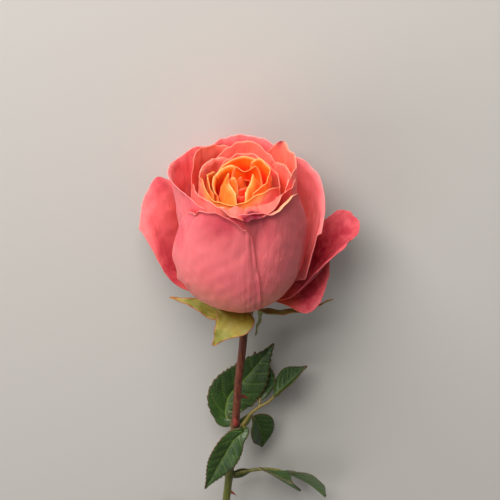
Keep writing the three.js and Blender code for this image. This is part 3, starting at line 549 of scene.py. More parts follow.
# %% Outer petals: guards and cup
PETALS = {
    "guard_left": dict(
        az=-125, half=(18, 26, 25, 20), half_left=(18, 36, 30, 20), base=(6.2, -1.9), rise=-3, out=29.5,
        back=16, rim_h=(33, 38, 43, 37, 28), rim_r=(37.5, 39.5, 41.5, 43, 44), lean=(30, 34, 38, 40, 42),
        roll=(10,), corner=4, cup=2, ruffle=0.4, waves=2.3,
        # the last patch is painted shade on the low part, which lies in the bloom's shadow
        stains_and_shade=((0.05, 0.97, 0.3, 0.12, 0.7), (0.8, 0.5, 0.4, 0.5, 0.3), (0.1, 0.35, 1.5, 0.4, 0.75)),
    ),
    "guard_right": dict(
        az=98, half=(18, 26, 21, 14), base=(5.7, -1.1), rise=1, out=25, back=21, lean=(50,),
        rim_h=(27.5, 30, 32, 32.5, 31), rim_r=(45, 47, 48, 47, 45), corner=3, cup=5,
        # painted shade: the whole arm lies in the bloom's shadow
        stains_and_shade=((0, 0.55, 2, 0.8, 1),),
    ),
    "guard_low": dict(
        az=122, half=(18, 46, 40, 30), base=(6.4, -2.3), rise=-2, out=25, back=12, lean=(12,),
        rim_h=(12, 16, 21, 23, 21), rim_r=(35.5, 36.5, 36, 34.5, 33), roll=(30,), roll_len=3, corner=4,
        # painted shade: this low petal lies in the bloom's shadow
        stains_and_shade=((0, 0.45, 2, 0.9, 1),),
    ),
    "guard_back_left": dict(
        az=-176, half=(18, 38, 39, 36), base=(5.5, -0.5), rise=6.5, out=25.7, back=24, lean=(6,),
        rim_h=(42, 46, 49, 47, 43), rim_r=(31.5, 32, 32, 32, 32), roll=(40,), roll_len=5, corner=6,
    ),
    "guard_back_right": dict(
        az=168, half=(18, 40, 38, 32), base=(4.7, 0.5), rise=12, out=22.5, back=24, lean=(4,),
        rim_h=(42, 47, 50, 49, 44), rim_r=(31, 31, 30.4, 29.4, 28.8), roll=(20,), roll_len=4, corner=6,
    ),
    "cup_front": dict(
        az=3, half=(20, 18, 14, 9), half_left=(24, 58, 80, 87, 79, 85, 77, 68, 56), base=(5.2, 0.6),
        rise=12.2, out=(25, 25, 25, 24.9, 24, 22.9, 22.6, 22.2, 21.6, 20.6, 18.6),
        back=(27, 27, 27, 27, 26, 24.2, 23.8, 23.2, 22.4, 21, 18.4), swell=(1.2, 1, 0.7, 0.6, 0.6, 0.6),
        rim_h=(50.6, 54.2, 58.5, 59.5, 56.6, 50.8, 49.8, 48.6, 47, 44.4, 38),
        rim_r=(26.2, 26.6, 26.9, 27, 27.1, 27, 26.9, 26.8, 26.8, 26.8, 26.9), lean=(-3,),
        roll=(20, 40, 70, 75, 60, 30, 20, 15, 10, 5, 0), roll_len=4.5, ruffle=0.15, waves=2.4, phase=0.2,
        nicks=((-0.745, 0.04, 1.5),), plain_right=True,
        bulges=((-0.4, 0.92, 0.28, 0.1, 0.9), (-0.97, 0.4, 0.07, 0.07, 1.2), (-0.97, 0.6, 0.06, 0.05, 0.7)),
        # the darker patch darkens the lobe towards its rim
        gilt=((-1, 0.5, 0.035, 0.16, 0.8),), stains_and_shade=((-0.38, 0.93, 0.24, 0.14, 0.42),),
        leather=((0.2, 0.4, 0.6, 0.2, 0.4),),
    ),
    "cup_wing": dict(
        az=23, half=(20, 63, 60, 36), half_left=(20, 38, 36, 36), base=(5.1, 0.8), rise=12, out=24.8,
        back=26.6, swell=(0.6, 0.6, 0.6, 0.7, 0.8, 0.8), lean=(-3,),
        rim_h=(56, 57, 57.6, 57.6, 57.2, 58.8, 61, 61.8, 60.2),
        rim_r=(25.8, 25.8, 25.6, 25.4, 25.4, 25.6, 25.8, 26.1, 26.3),
        roll=(0, 0, 10, 30, 80, 110, 100, 70, 20), roll_len=3.6, corner=1.5, ruffle=0.15, waves=2.4,
        phase=0.2, bulges=((-0.3, 0.84, 0.35, 0.12, -1.8), (0.2, 0.8, 0.14, 0.1, 0.5)),
        gilt=((0.5, 1, 0.4, 0.035, 1),), leather=((0.25, 0.6, 0.5, 0.3, 1),),
        # the first patch is painted shade in the hollow under the inner petal's lip; the second darkens the
        # right side
        stains_and_shade=((-0.3, 0.9, 0.4, 0.12, 0.25), (0.9, 0.6, 0.4, 0.5, 0.2)),
    ),
    "cup_left": dict(
        az=-98, half=(24, 62, 62, 62), base=(4.5, 1.2), rise=11, out=23.2, back=24,
        swell=(0.4, 0.3, -0.2, -0.9), rim_h=(56, 59.2, 58.8, 61, 60.8, 60.6, 57.2),
        rim_r=(26.8, 27.4, 27.8, 27.8, 27.4, 26.2, 24.3), lean=(2, 4, 8, 10, 9, 6, 0),
        roll=(20, 20, 20, 40, 40, 20, 5), roll_len=3, corner=1, ruffle=0.2, waves=2.2, phase=0.6,
    ),
    "cup_back": dict(
        az=178, half=(24, 60, 56, 45), base=(3.6, 2.5), rise=17, out=21.5, back=25, lean=(-3,), roll=(20,),
        rim_h=(57.2, 61, 62.2, 61.2, 58.2), rim_r=(25, 25.7, 25.6, 25, 24.6), roll_len=2.5, corner=2,
        ruffle=0.3, waves=2.5, phase=0.1,
    ),
    "cup_right": dict(
        az=120, half=(22, 36, 42, 42), half_left=(22, 26, 50, 42), base=(4.2, 1.6), rise=13.5, out=24.5,
        back=24, swell=(1, 0.4, 0, 0), rim_h=(38, 46, 52, 54.6, 55.4, 55.4, 53.5),
        rim_r=(31.5, 32.4, 32, 30.6, 28.8, 27.7, 27.6), lean=(12, 13, 12, 9, 5, 2, 1),
        roll=(70, 60, 45, 30, 20, 10, 0), roll_len=3, corner=2, ruffle=0.3, waves=3, phase=0.5,
    ),
}

# %% Middle petals: inner and ring
PETALS.update({
    "inner_left": dict(
        az=-30, half=(30, 50, 44, 34), out=20, rim_h=(62.4, 60, 59.6, 58, 55),
        rim_r=(21.4, 21.8, 22.1, 22.3, 22.4), lean=(-4,),
    ),
    "inner_front": dict(
        az=24, half=(30, 62, 56, 43), out=20.4, back=23, flutter=0.45,
        rim_h=(58.4, 58.6, 58.4, 58.6, 60, 61.8, 63.4), rim_r=(21.4, 19.6, 19.2, 19.4, 21, 23, 23.6),
        roll=(60, 95, 100, 96, 70, 30, 20), roll_len=3, brim=(2.4, 6.2, 6.4, 5.6, 2.6, 0.4, 0), corner=0.3,
        ruffle=0.3, waves=4, phase=0.3, nicks=((-0.42, 0.05, 0.9), (-0.1, 0.04, 0.6)),
        stains_and_shade=((-0.32, 0.985, 0.15, 0.035, 2.4), (-0.1, 1, 1.2, 0.2, 0.42)),
    ),
    "inner_right": dict(
        az=102, half=(30, 62, 62, 46), out=20.2, back=23, flutter=0.25, ruffle=0.3,
        rim_h=(63.5, 66, 66.6, 66.2, 65.4, 66.8, 60.5), rim_r=(21.8, 22, 22.2, 22.2, 22.2, 22.4, 21.4),
        roll=(10, 10, 20, 20, 20, 60, 0), stains_and_shade=((0.7, 1, 0.1, 0.04, 1),),
    ),
    "inner_back_left": dict(
        az=-140, half=(30, 50, 40, 27), out=19.5, rim_h=(60, 61.6, 63, 64, 62.5),
        rim_r=(22.6, 22.4, 22, 21.2, 20.8), lean=(-2,),
    ),
    "inner_back": dict(
        az=172, half=(30, 60, 55, 42), out=18, rim_h=(57, 60.8, 63.8, 61.5, 56.4),
        rim_r=(20, 20, 20, 19.8, 19.2), lean=(-4,), corner=1, waves=2,
    ),
    "ring_front": dict(
        az=-28, half=(34, 80, 85, 86), rim_h=(58.5, 59.8, 60.6, 58.5, 56.6, 57.4, 59.6, 61.8, 62),
        rim_r=(16.2, 16.2, 16.4, 16.5, 16.6, 16.8, 17.2, 17.8, 18.2),
        roll=(20, 20, 30, 50, 60, 50, 30, 20, 20), roll_len=3, waves=4,
        gilt=((-0.05, 1, 0.5, 0.12, 1.1), (0.5, 1, 0.3, 0.05, 0.8)),
    ),
    "ring_right": dict(
        az=104, half=(34, 60, 55, 30), out=16.6, rim_h=(60, 61, 60.7, 59.6, 58.2),
        rim_r=(19.4, 19.6, 19.4, 18.9, 18.4), lean=(-3,), roll=(20,),
    ),
    "ring_left": dict(
        az=-140, half=(34, 60, 50, 26), rim_h=(57.5, 58.7, 58), rim_r=(17, 17.6, 17.6), lean=(-3,),
        roll=(50,), corner=1.5, waves=2,
    ),
    "ring_back": dict(
        az=150, half=(34, 60, 60, 62), out=14, rim_h=(55, 56.6, 59.7, 60.8, 57.5),
        rim_r=(16.2, 16.2, 16, 15.6, 15), roll=(10,), roll_len=1.5,
    ),
})

# %% The heart, with flames, scroll and core
PETALS.update({
    "heart_left": dict(
        az=-92, half=(38, 60, 50, 34), rim_h=(58, 58.8, 60, 60, 57.4), rim_r=(13, 13, 13.2, 13.2, 12.8),
        roll=(30,), corner=1, ruffle=0.35, waves=2,
    ),
    "heart_back": dict(
        az=165, half=(38, 60, 60, 60), rim_h=(57, 59.4, 60.8, 60, 57), rim_r=(13.2, 13.3, 13.2, 13.1, 12.8),
        corner=1,
    ),
    "heart_band": dict(
        az=-122, half=(38, 80, 75, 63), out=8, flutter=0.12, rim_h=(54, 57.6, 57.8, 57.2, 57.6, 56.6, 55.2),
        rim_r=(10, 10.6, 10.6, 10.4, 10.3, 10.6, 10.6), roll=(10, 60, 70, 70, 70, 70, 50), roll_len=2.2,
        ruffle=0.2,
    ),
    "heart_right": dict(
        az=92, half=(38, 78, 76, 66), out=9, rim_h=(59.8, 60.8, 61.4, 61.4, 62, 63.2, 60.6),
        rim_r=(11.6, 11.8, 11.6, 11.6, 11.8, 11.4, 11.4),
    ),
    "flame_left": dict(
        az=-44, half=(38, 46, 42, 32), half_left=(30, 34, 33, 32),
        rim_h=(59, 60.4, 62, 63.6, 64.6, 62, 60.8, 60.4, 60, 59.7, 59.4, 59, 58.4),
        rim_r=(7.6, 7.3, 7, 6.7, 6.4, 6.9, 7.3, 7.5, 7.8, 8.1, 8.5, 8.9, 9.4),
        lean=(-28, -30, -32, -35, -38, -46, -52, -56, -58, -60, -62, -62, -58),
    ),
    "flame_right": dict(
        az=44, half=(38, 44, 40, 32),
        rim_h=(59, 59.8, 60.4, 60.8, 61.2, 61.8, 62.6, 63.4, 64.2, 63, 61.4, 60.4, 59.6),
        rim_r=(9.6, 9, 8.4, 7.9, 7.5, 7.2, 6.9, 6.6, 6.4, 6.6, 7, 7.4, 7.8),
        lean=(-58, -58, -56, -54, -50, -46, -42, -38, -34, -32, -30, -28, -28),
    ),
    "flame_small": dict(
        az=-46, half=(38, 60, 45, 30), base=(1.8, 9), out=7, back=8, rim_h=(58.4, 60.6, 62.2, 61.4, 59),
        rim_r=(6.2, 5.4, 4.6, 4.2, 4), lean=(-24,),
    ),
    "scroll": dict(
        az=158, half=(38, 60, 50, 38), rim_h=(64, 61.4, 59.9, 60, 61.4), rim_r=(7.4, 6.6, 6.2, 6.6, 7.7),
        lean=(-50,),
    ),
    "core_back": dict(
        az=20, half=(38, 100, 150, 180), base=(1.6, 9), out=6, back=4.1, rim_h=(61.2,), rim_r=(0.05,),
        lean=(-80,), roll_len=0.3, stains_and_shade=((0, 1, 2, 0.3, 0.5), (0, 0.5, 2, 0.3, 0.8)),
    ),
    "core_front": dict(
        az=24, half=(38, 80, 85, 95), base=(1.4, 9), out=6.6, back=4, rim_h=(56, 57, 57.8, 57, 56),
        rim_r=(4.2, 4, 3.9, 4, 4.2), lean=(-50,), stains_and_shade=((0, 0.8, 2, 0.6, 1),),
    ),
    "core_left": dict(
        az=-100, half=(38, 70, 66, 56), base=(1.2, 9), out=7.4, back=4, rim_h=(57, 58.2, 59, 58.2, 57),
        rim_r=(4.9, 4.8, 4.7, 4.7, 4.8), lean=(-46,), stains_and_shade=((0, 0.8, 2, 0.6, 0.75),),
    ),
    "core_right": dict(
        az=100, half=(38, 80, 85, 80), base=(1.2, 9), out=8.4, back=4.5, rim_h=(54, 56, 57.4, 57, 56),
        rim_r=(5.2, 5, 4.8, 4.8, 5), lean=(-44,), stains_and_shade=((0, 0.8, 2, 0.6, 0.85),),
    ),
    "core_low": dict(
        az=4, half=(38, 80, 85, 90), base=(1.2, 9), out=9.6, back=4.5, rim_h=(56, 55.4, 55.2, 55.4, 56),
        rim_r=(5.6, 5.4, 5.2, 5.4, 5.6), lean=(-60,), stains_and_shade=((0, 0.8, 2, 0.6, 1),),
    ),
})
print(len(PETALS), "petals")

# %% [markdown]
# ## Laying the bloom
# Every petal becomes a piece of its own, so that it can be moved or recoloured alone. It stands for the solid
# that it came from: each outer petal has one, which the front one shares with its wing, and the middle and
# the heart have one each for all their petals. A petal's name seeds its unevenness, so petals differ and
# every run gives the same ones.

# %% A piece for each petal
for name, own in PETALS.items():
    whorl = name.split("_")[0]
    columns, rows, finish, slot, shared = LOOKS[whorl]
    spec = {**USUAL, **WHORLS[whorl], **own, "seed": sum(map(ord, name))}
    petal = add_piece(name + "_petal", [petal_blade(spec, columns, rows)])
    solid = "cup_front" if name == "cup_wing" else name
    hand_over(petal, finish, slot, shared or "petal_" + solid)

# %% [markdown]
# ## Paths and ribbons
# Stem, leaf stalks, sepals and leaflets all follow a path. A centripetal Catmull-Rom curve goes through a few
# points without overshooting, and its points are spread evenly by length, so rings and rows stay even.

# %% Even points on a smooth path
def path(points, count, dense=64):
    """Points and headings, evenly spaced by length on a centripetal curve through the points."""
    p = np.asarray(points, float)
    p = np.concatenate([[2 * p[0] - p[1]], p, [2 * p[-1] - p[-2]]])
    knots = np.maximum(np.sqrt(np.linalg.norm(np.diff(p, axis=0), axis=1)), 1e-6)
    pieces = []
    for i in range(len(p) - 3):
        a, b, c, d = p[i : i + 4]
        k0, k1, k2 = knots[i : i + 3]
        start = ((b - a) / k0 - (c - a) / (k0 + k1) + (c - b) / k1) * k1
        end = ((c - b) / k1 - (d - b) / (k1 + k2) + (d - c) / k2) * k1
        t = np.linspace(0, 1, dense, endpoint=i == len(p) - 4)[:, None]
        pieces.append(b * (2 * t**3 - 3 * t**2 + 1) + start * (t**3 - 2 * t**2 + t)
                      + c * (3 * t**2 - 2 * t**3) + end * (t**3 - t**2))
    fine = np.concatenate(pieces)
    reach = np.concatenate([[0], np.cumsum(np.linalg.norm(np.diff(fine, axis=0), axis=1))])
    places = np.linspace(0, reach[-1], count)
    even = np.stack([np.interp(places, reach, fine[:, k]) for k in range(3)], -1)
    return even, unit(np.gradient(even, axis=0)), reach[-1]


def toward(a, b, share):
    """A point on the way from a to b."""
    a, b = np.asarray(a, float), np.asarray(b, float)
    return tuple(a + share * (b - a))


# %% Ribbons, and closed forms of rings
def ribbon(spine, face, fold, columns, rows):
    """Places across a blade along a spine, with its two halves folded up from the rib by fold degrees.

    Gives its middle line and heading, the directions up and sideways, its length, and u and v over the grid.
    """
    centre, heading, length = path(spine, rows)
    side = unit(np.cross(heading, np.asarray(face, float)))
    up = np.cross(side, heading)
    u, v = np.meshgrid(np.linspace(-1, 1, columns), np.linspace(0, 1, rows), indexing="ij")
    angle, half = math.radians(fold), np.sign(u)[..., None]
    spread = side[None] * (half * math.cos(angle)) + up[None] * (np.abs(half) * math.sin(angle))
    return centre[None], heading[None], up[None], spread, length, u, v


def ring_faces(rings, sides):
    """Faces between rings of points, and a cap on the first ring and on the last."""
    k, i = np.meshgrid(np.arange(rings - 1), np.arange(sides), indexing="ij")
    first, second = k * sides + i, k * sides + (i + 1) % sides
    walls = np.stack([first, second, second + sides, first + sides], -1).reshape(-1, 4)
    cap = np.arange(sides)[None]
    return [walls, cap[:, ::-1], cap + (rings - 1) * sides]


def tube(points, radii, sides, rings):
    """A closed round tube along a path. Its radii are spread over it, or one is given for every ring."""
    centre, heading, _ = path(points, rings)
    girth = np.asarray(radii) if len(radii) == rings else along(radii, np.linspace(0, 1, rings))
    side = unit(np.cross(heading, np.array([0.13, -0.97, 0.2])))  # any direction off the path's own
    other = np.cross(heading, side)
    turn = np.linspace(0, 2 * np.pi, sides, endpoint=False)
    ring = np.cos(turn)[None, :, None] * side[:, None] + np.sin(turn)[None, :, None] * other[:, None]
    places = centre[:, None] + ring * girth.reshape(rings, 1, 1)
    upward = np.repeat(places.mean(1)[:, 2], sides)
    return places.reshape(-1, 3), ring_faces(rings, sides), {"upward": upward}


# %% [markdown]
# ## The calyx
# Under the petals sits the hip, the swollen end of the stem that holds the ovary, and from its rim five
# sepals hang. In bud they wrapped the flower, and now they are bent down: olive on the face that touched the
# petals, reddish along the margin, and drawn out to a fine tip. The hip is a turned form, so its outline is
# spun round the stem. Each sepal is a ribbon on its own path.

# %% The hip's outline, spun
HIP_OUTLINE = [(0, -12), (2.3, -12), (3.6, -10), (4.6, -7), (4.5, -4.8), (4.2, -3.6), (5.9, -2.9),
               (5.5, -1.9), (4.2, -0.1), (3, 1.6), (2.2, 2.8), (0, 2.8)]
HIP_RIM = -2.9
HIP_DRIFT = 0.13  # sideways for each millimetre below its rim, to meet the stem
HIP_RIBS, RIB_SHARE = 5, 0.03  # how many there are, and their height as a part of the radius


def spun(outline, sides, rings):
    """A closed form turned round the stem."""
    around = along(outline, np.linspace(0, 1, rings))[1:-1]
    turn = np.linspace(0, 2 * np.pi, sides, endpoint=False)
    radius = np.maximum(around[:, :1], 0.05) * (1 + RIB_SHARE * np.cos(HIP_RIBS * turn))
    z = np.repeat(around[:, 1:], sides, 1)
    x = radius * np.cos(turn) + HIP_DRIFT * np.maximum(0, HIP_RIM - z)
    points = np.stack([x, radius * np.sin(turn), z], -1).reshape(-1, 3)
    return points, ring_faces(len(around), sides), {}


# %% Five sepals: spine, the way its face points, and its half width
SEPALS = {
    "front": ([(-0.8, -3.6, -3.7), (-3, -9, -5), (-8, -12.6, -9), (-11.6, -13.2, -15)], (0, -0.6, 0.8), 8.4),
    "left": ([(-3.6, 0.3, -3.9), (-9.4, 1.2, -7.6), (-19, 2.8, -5.2), (-30, 4.4, -3)], (0, -0.6, 0.8), 4.6),
    "right": ([(3.6, -1, -3.7), (11, -0.6, -7.8), (24, 1.6, -8.6), (39, 5, -4.6)], (0, 0.4, 0.9), 4.6),
    "hanging": ([(2.4, 2.8, -3.7), (5.6, 7.5, -6), (7.8, 8.6, -14), (6, 6.2, -25)], (0.8, 0.4, 0.4), 3.4),
    "back": ([(-2.6, 2.8, -3.7), (-7, 8, -6.6), (-12, 12.5, -9), (-16, 14.5, -15)], (-0.4, 0.7, 0.6), 4.8),
}
SEPAL_OUTLINE = [0.42, 0.95, 1, 0.72, 0.42, 0.2, 0.05]
SEPAL_FOLD = 14  # degrees
SEPAL_WAVE, SEPAL_RIB = 0.35, 0.09  # millimetres up and down
SEPAL_THICKNESS, SEPAL_RIDGE = 0.35, 0.3  # at the margin, and what the middle has more


def sepal_blade(spine, face, width):
    """A sepal that narrows to a fine tip, with raised ribs and a slightly wavy margin."""
    centre, _, up, spread, length, u, v = ribbon(spine, face, SEPAL_FOLD, columns=29, rows=64)
    outline = width * along(SEPAL_OUTLINE, v)
    wave = SEPAL_WAVE * u**2 * np.sin(9 * v * np.pi) * smooth(v * 4)
    ribs = SEPAL_RIB * np.cos(u * 5 * np.pi) * (1 - v)
    grid = centre + spread * (np.abs(u) * outline)[..., None] + up * (wave + ribs)[..., None]
    edge = np.minimum((1 - np.abs(u)) * outline, (1 - v) * length)
    return skins(grid, SEPAL_THICKNESS + SEPAL_RIDGE * (1 - np.abs(u)) * (1 - v), {"edge": edge})


hip = add_piece("calyx_hip", [spun(HIP_OUTLINE, sides=60, rings=56)])
sepals = add_piece("calyx_sepals", [sepal_blade(*sepal) for sepal in SEPALS.values()])

# %% [markdown]
# ## Green finish
# Sepals are olive with a red margin, and leaves are dark green, paler underneath and a little glossy. Both
# greens are mottled and have a net of fine veins, because a plain green looks like plastic.

# %% Sepals and leaves
def green_finish(name, tone, dark, margin, margin_width, roughness, underside, vein_tone):
    """A leaf-like finish: two tones, a margin, a paler underside and veins from the mesh's vein mark."""
    material, shader, tree = new_finish(
        name, roughness, Subsurface_Weight=0.08, Subsurface_Scale=0.001, Subsurface_Radius=(0.45, 1.0, 0.2),
        Specular_IOR_Level=0.45,
    )
    place = object_place(tree)
    cells = step(tree, "ShaderNodeTexVoronoi", {"feature": "DISTANCE_TO_EDGE"}, Vector=place, Scale=900.0)
    net = ramp(tree, cells.outputs["Distance"], 0.0, 0.16, 1.0, 0.0)
    body = layered(
        tree, tone,
        (ramp(tree, noise(tree, place, 120.0, 4.0), 0.34, 0.68), dark),
        (sums(tree, "MULTIPLY", net, 0.22), vein_tone),
        (ramp(tree, mark(tree, "vein"), 0.15, 0.9, 0.0, 0.75), vein_tone),
        (ramp(tree, mark(tree, "edge"), margin_width, 0.1, 0.0, 0.8), margin),
        (ramp(tree, mark(tree, "inner"), 0.6, 0.95, 0.0, 0.8), underside),
    )
    relief = sums(tree, "MULTIPLY_ADD", net, -0.35, noise(tree, place, 1100.0, 3.0))
    joined(tree, shader, body, relief, 0.0002)
    return material


CALYX_FINISH = green_finish(
    "calyx_green", tone=colour(158, 142, 48), dark=colour(118, 122, 42), margin=colour(164, 96, 54),
    margin_width=0.7, roughness=0.5, underside=colour(104, 124, 56), vein_tone=colour(176, 164, 84),
)
LEAF_FINISH = green_finish(
    "leaf_green", tone=colour(44, 72, 30), dark=colour(28, 52, 24), margin=colour(96, 60, 34),
    margin_width=0.35, roughness=0.36, underside=colour(104, 128, 84), vein_tone=colour(104, 128, 54),
)
hand_over(hip, CALYX_FINISH, "calyx_green", "calyx")
hand_over(sepals, CALYX_FINISH, "calyx_green", "calyx")

# %% [markdown]
# ## Rind
# Young rose wood is green where the light doesn't reach and red-brown where it does, with pale breathing
# pores. Its prickles are redder, with a dry tip, and the fresh cut shows pale pith. One finish holds all of
# that, since one rind goes over the whole stem, and leaf stalks have the same in greener tones.

# %% Stem and stalks
PRICKLE_RED, DRY_TIP = colour(128, 44, 34), colour(150, 100, 60)
PORE_TONE, PITH_TONE = colour(170, 150, 96), colour(196, 204, 150)


def bark_finish(name, upper, upper_dark, lower, lower_dark):
    """Rind: one pair of tones above the topmost leaf and another below, streaked along, with pale pores."""
    material, shader, tree = new_finish(name, 0.42, Specular_IOR_Level=0.45)
    place = object_place(tree)
    stretched = step(tree, "ShaderNodeVectorMath", {"operation": "MULTIPLY"}, _0=place, _1=(1.0, 0.08, 1.0))
    streaks = noise(tree, stretched.outputs[0], 1500.0, 4.0)
    height = sums(tree, "MULTIPLY_ADD", noise(tree, place, 60.0, 3.0), 14.0, mark(tree, "upward"))
    low_tone = blended(tree, ramp(tree, streaks, 0.4, 0.65), lower, lower_dark)
    high_tone = blended(tree, ramp(tree, streaks, 0.38, 0.65), upper, upper_dark)
    pores = step(tree, "ShaderNodeTexVoronoi", {"feature": "F1"}, Vector=place, Scale=420.0, Randomness=1.0)
    dots = ramp(tree, pores.outputs["Distance"], 0.16, 0.08, 0.0, 0.4)
    body = layered(
        tree, blended(tree, ramp(tree, height, -74.0, -58.0), low_tone, high_tone),
        (dots, PORE_TONE),
        (ramp(tree, mark(tree, "hook"), 0.05, 0.5), PRICKLE_RED),
        (ramp(tree, mark(tree, "hook"), 0.6, 1.0), DRY_TIP),
        (ramp(tree, mark(tree, "upward"), -STEM_LENGTH + 0.3, -STEM_LENGTH + 0.05), PITH_TONE),
    )
    joined(tree, shader, body, sums(tree, "ADD", streaks, dots), 0.0003)
    return material


BARK_FINISH = bark_finish(
    "stem_bark", upper=colour(116, 58, 36), upper_dark=colour(80, 32, 24),
    lower=colour(106, 110, 44), lower_dark=colour(80, 88, 34),
)
STALK_FINISH = bark_finish(
    "leaf_stalk", upper=colour(134, 118, 54), upper_dark=colour(112, 96, 42),
    lower=colour(120, 116, 50), lower_dark=colour(92, 94, 38),
)

# %% [markdown]
# ## The stem
# The stem leans a little this way and that, with a slight bend and swelling where each leaf grows, and it was
# cut straight across. It is a tube whose girth is a sum of a few soft bumps.

# %% The shaft
STEM_LINE = [(1.25, 0, -10.8), (0.8, 0, -24), (-1.2, 0, -45), (-2.4, 0, -66), (-3.8, 0, -79), (-5.1, 0, -95),
             (-7.4, 0, -120), (-10.4, 0, -160), (-11.4, 0, -STEM_LENGTH)]
STEM_TOP = -12.0
STEM_RINGS = 260
SWELLINGS = [(STEM_TOP, 0.3, 8), (-70.7, 0.35, 3), (-99.4, 0.35, 3), (-160, 0.35, 3)]  # height, rise, length
heights = STEM_TOP - (STEM_TOP + STEM_LENGTH) * np.linspace(0, 1, STEM_RINGS)
girth = STEM_RADIUS + sum(rise * np.exp(-(((heights - at) / length) ** 2)) for at, rise, length in SWELLINGS)
shaft = add_piece("stem_shaft", [tube(STEM_LINE, girth, sides=28, rings=STEM_RINGS)])
hand_over(shaft, BARK_FINISH, "stem_bark", "stem")

# %% [markdown]
# ## Prickles
# A rose's prickles aren't thorns of wood but outgrowths of its rind: broad at the foot, flattened sideways
# and hooked down. Modelling each by hand would be slow, and copies would look alike. So Geometry Nodes sweep
# one hook from a curve that thins towards its tip, set it on the stem at each of the solids' places, and vary
# its size a little from a fixed seed.

# %% Helpers for node trees
def new_tree(name, sizes):
    """A geometry tree with named inputs for its sizes. Gives the tree, its inputs and its output."""
    tree = bpy.data.node_groups.new(name, "GeometryNodeTree")
    tree.interface.new_socket("Geometry", in_out="OUTPUT", socket_type="NodeSocketGeometry")
    tree.interface.new_socket("Geometry", in_out="INPUT", socket_type="NodeSocketGeometry")
    for size_name, value in sizes.items():
        kind = "NodeSocketInt" if isinstance(value, int) else "NodeSocketFloat"
        tree.interface.new_socket(size_name, in_out="INPUT", socket_type=kind)
    source, target = tree.nodes.new("NodeGroupInput"), tree.nodes.new("NodeGroupOutput")
    return tree, source.outputs, target.inputs["Geometry"]


def grown(name, places, tree, sizes):
    """The plain mesh that the tree makes from the places, as a new object. The places are removed."""
    growing = places.modifiers.new("growing", "NODES")
    growing.node_group = tree
    for socket in tree.interface.items_tree:
        if socket.in_out == "INPUT" and socket.name in sizes:
            growing[socket.identifier] = sizes[socket.name]
    evaluated = places.evaluated_get(bpy.context.evaluated_depsgraph_get())
    mesh = bpy.data.meshes.new_from_object(evaluated)
    places.modifiers.remove(growing)
    bpy.data.objects.remove(places)
    mesh.name = name
    print(f"{name}: {len(mesh.vertices)} points, {len(mesh.polygons)} faces")
    return linked(name, mesh)


# %% The prickle tree
PRICKLE_SIZES = {"Reach": 0.0056, "Droop": 0.0024, "Foot": 0.0016, "Flatness": 0.55, "Seed": 7}
prickle_tree, sizes, result = new_tree("prickles", PRICKLE_SIZES)


def add(kind, settings=None, **sockets):
    """A step in the prickle tree, as its first output."""
    return step(prickle_tree, kind, settings, **sockets).outputs[0]


def direction(name):
    """A direction that the places carry."""
    return add("GeometryNodeInputNamedAttribute", {"data_type": "FLOAT_VECTOR"}, Name=name)


root = add("ShaderNodeCombineXYZ", X=0.0006)
knee = add("ShaderNodeCombineXYZ", X=sums(prickle_tree, "MULTIPLY", sizes["Reach"], 0.6))
drop = sums(prickle_tree, "MULTIPLY", sizes["Droop"], -1.0)
tip = add("ShaderNodeCombineXYZ", X=sizes["Reach"], Z=drop)
hook = add("GeometryNodeCurveQuadraticBezier", Resolution=14, Start=root, Middle=knee, End=tip)
share = add("GeometryNodeSplineParameter")
taper = sums(prickle_tree, "POWER", sums(prickle_tree, "SUBTRACT", 1.02, share), 1.5)
marked = add("GeometryNodeStoreNamedAttribute", {"data_type": "FLOAT", "domain": "POINT"}, Geometry=hook,
             Name="hook", Value=share)
ring = add("GeometryNodeCurvePrimitiveCircle", Resolution=16, Radius=sizes["Foot"])
swept = add("GeometryNodeCurveToMesh", Curve=marked, Profile_Curve=ring, Scale=taper, Fill_Caps=True)
squash = add("ShaderNodeCombineXYZ", X=1.0, Y=sizes["Flatness"], Z=1.0)
flattened = add("GeometryNodeTransform", Geometry=swept, Scale=squash)
stance = add("FunctionNodeAxesToRotation", {"primary_axis": "X", "secondary_axis": "Z"},
             Primary_Axis=direction("outward"), Secondary_Axis=direction("bloomward"))
varied = step(prickle_tree, "FunctionNodeRandomValue", {"data_type": "FLOAT"}, _2=0.86, _3=1.06,
              Seed=sizes["Seed"]).outputs[1]
standing = add("GeometryNodeInstanceOnPoints", Points=sizes["Geometry"], Instance=flattened,
               Rotation=stance, Scale=varied)
real = add("GeometryNodeRealizeInstances", Geometry=standing)
rounded = add("GeometryNodeSetShadeSmooth", Geometry=real)
prickle_tree.links.new(add("GeometryNodeSetMaterial", Geometry=rounded, Material=BARK_FINISH), result)
print("prickle tree:", len(prickle_tree.nodes), "nodes")

# %% Seven prickles where the solids have them
PRICKLES = [(-54, 105), (-84, -75), (-109, 70), (-124, -120), (-141, 15), (-176, 95), (-189, -65)]
line, line_heading, _ = path(STEM_LINE, 400)
spots, outward, bloomward = [], [], []
for height, azimuth in PRICKLES:
    nearest = np.argmin(np.abs(line[:, 2] - height))
    spots.append(line[nearest])
    outward.append((math.sin(math.radians(azimuth)), -math.cos(math.radians(azimuth)), 0.0))
    bloomward.append(-line_heading[nearest])
places = linked("prickle_places", bpy.data.meshes.new("prickle_places"))
places.data.from_pydata(laid(spots).tolist(), [], [])
for name, directions in (("outward", outward), ("bloomward", bloomward)):
    vectors = places.data.attributes.new(name, "FLOAT_VECTOR", "POINT").data
    vectors.foreach_set("vector", turned(directions).astype(np.float32).ravel())
upward = places.data.attributes.new("upward", "FLOAT", "POINT").data
upward.foreach_set("value", [float(height) for height, _ in PRICKLES])
prickles = grown("stem_prickles", places, prickle_tree, PRICKLE_SIZES)
hand_over(prickles, BARK_FINISH, "stem_bark", "stem")

# %% [markdown]
# ## A bud in the axil
# Above every leaf of a rose sleeps a bud, which grows into the next shoot. The upper one has started to swell
# and is red. It is an egg drawn out to a point, so it is a short tube that widens and closes again.

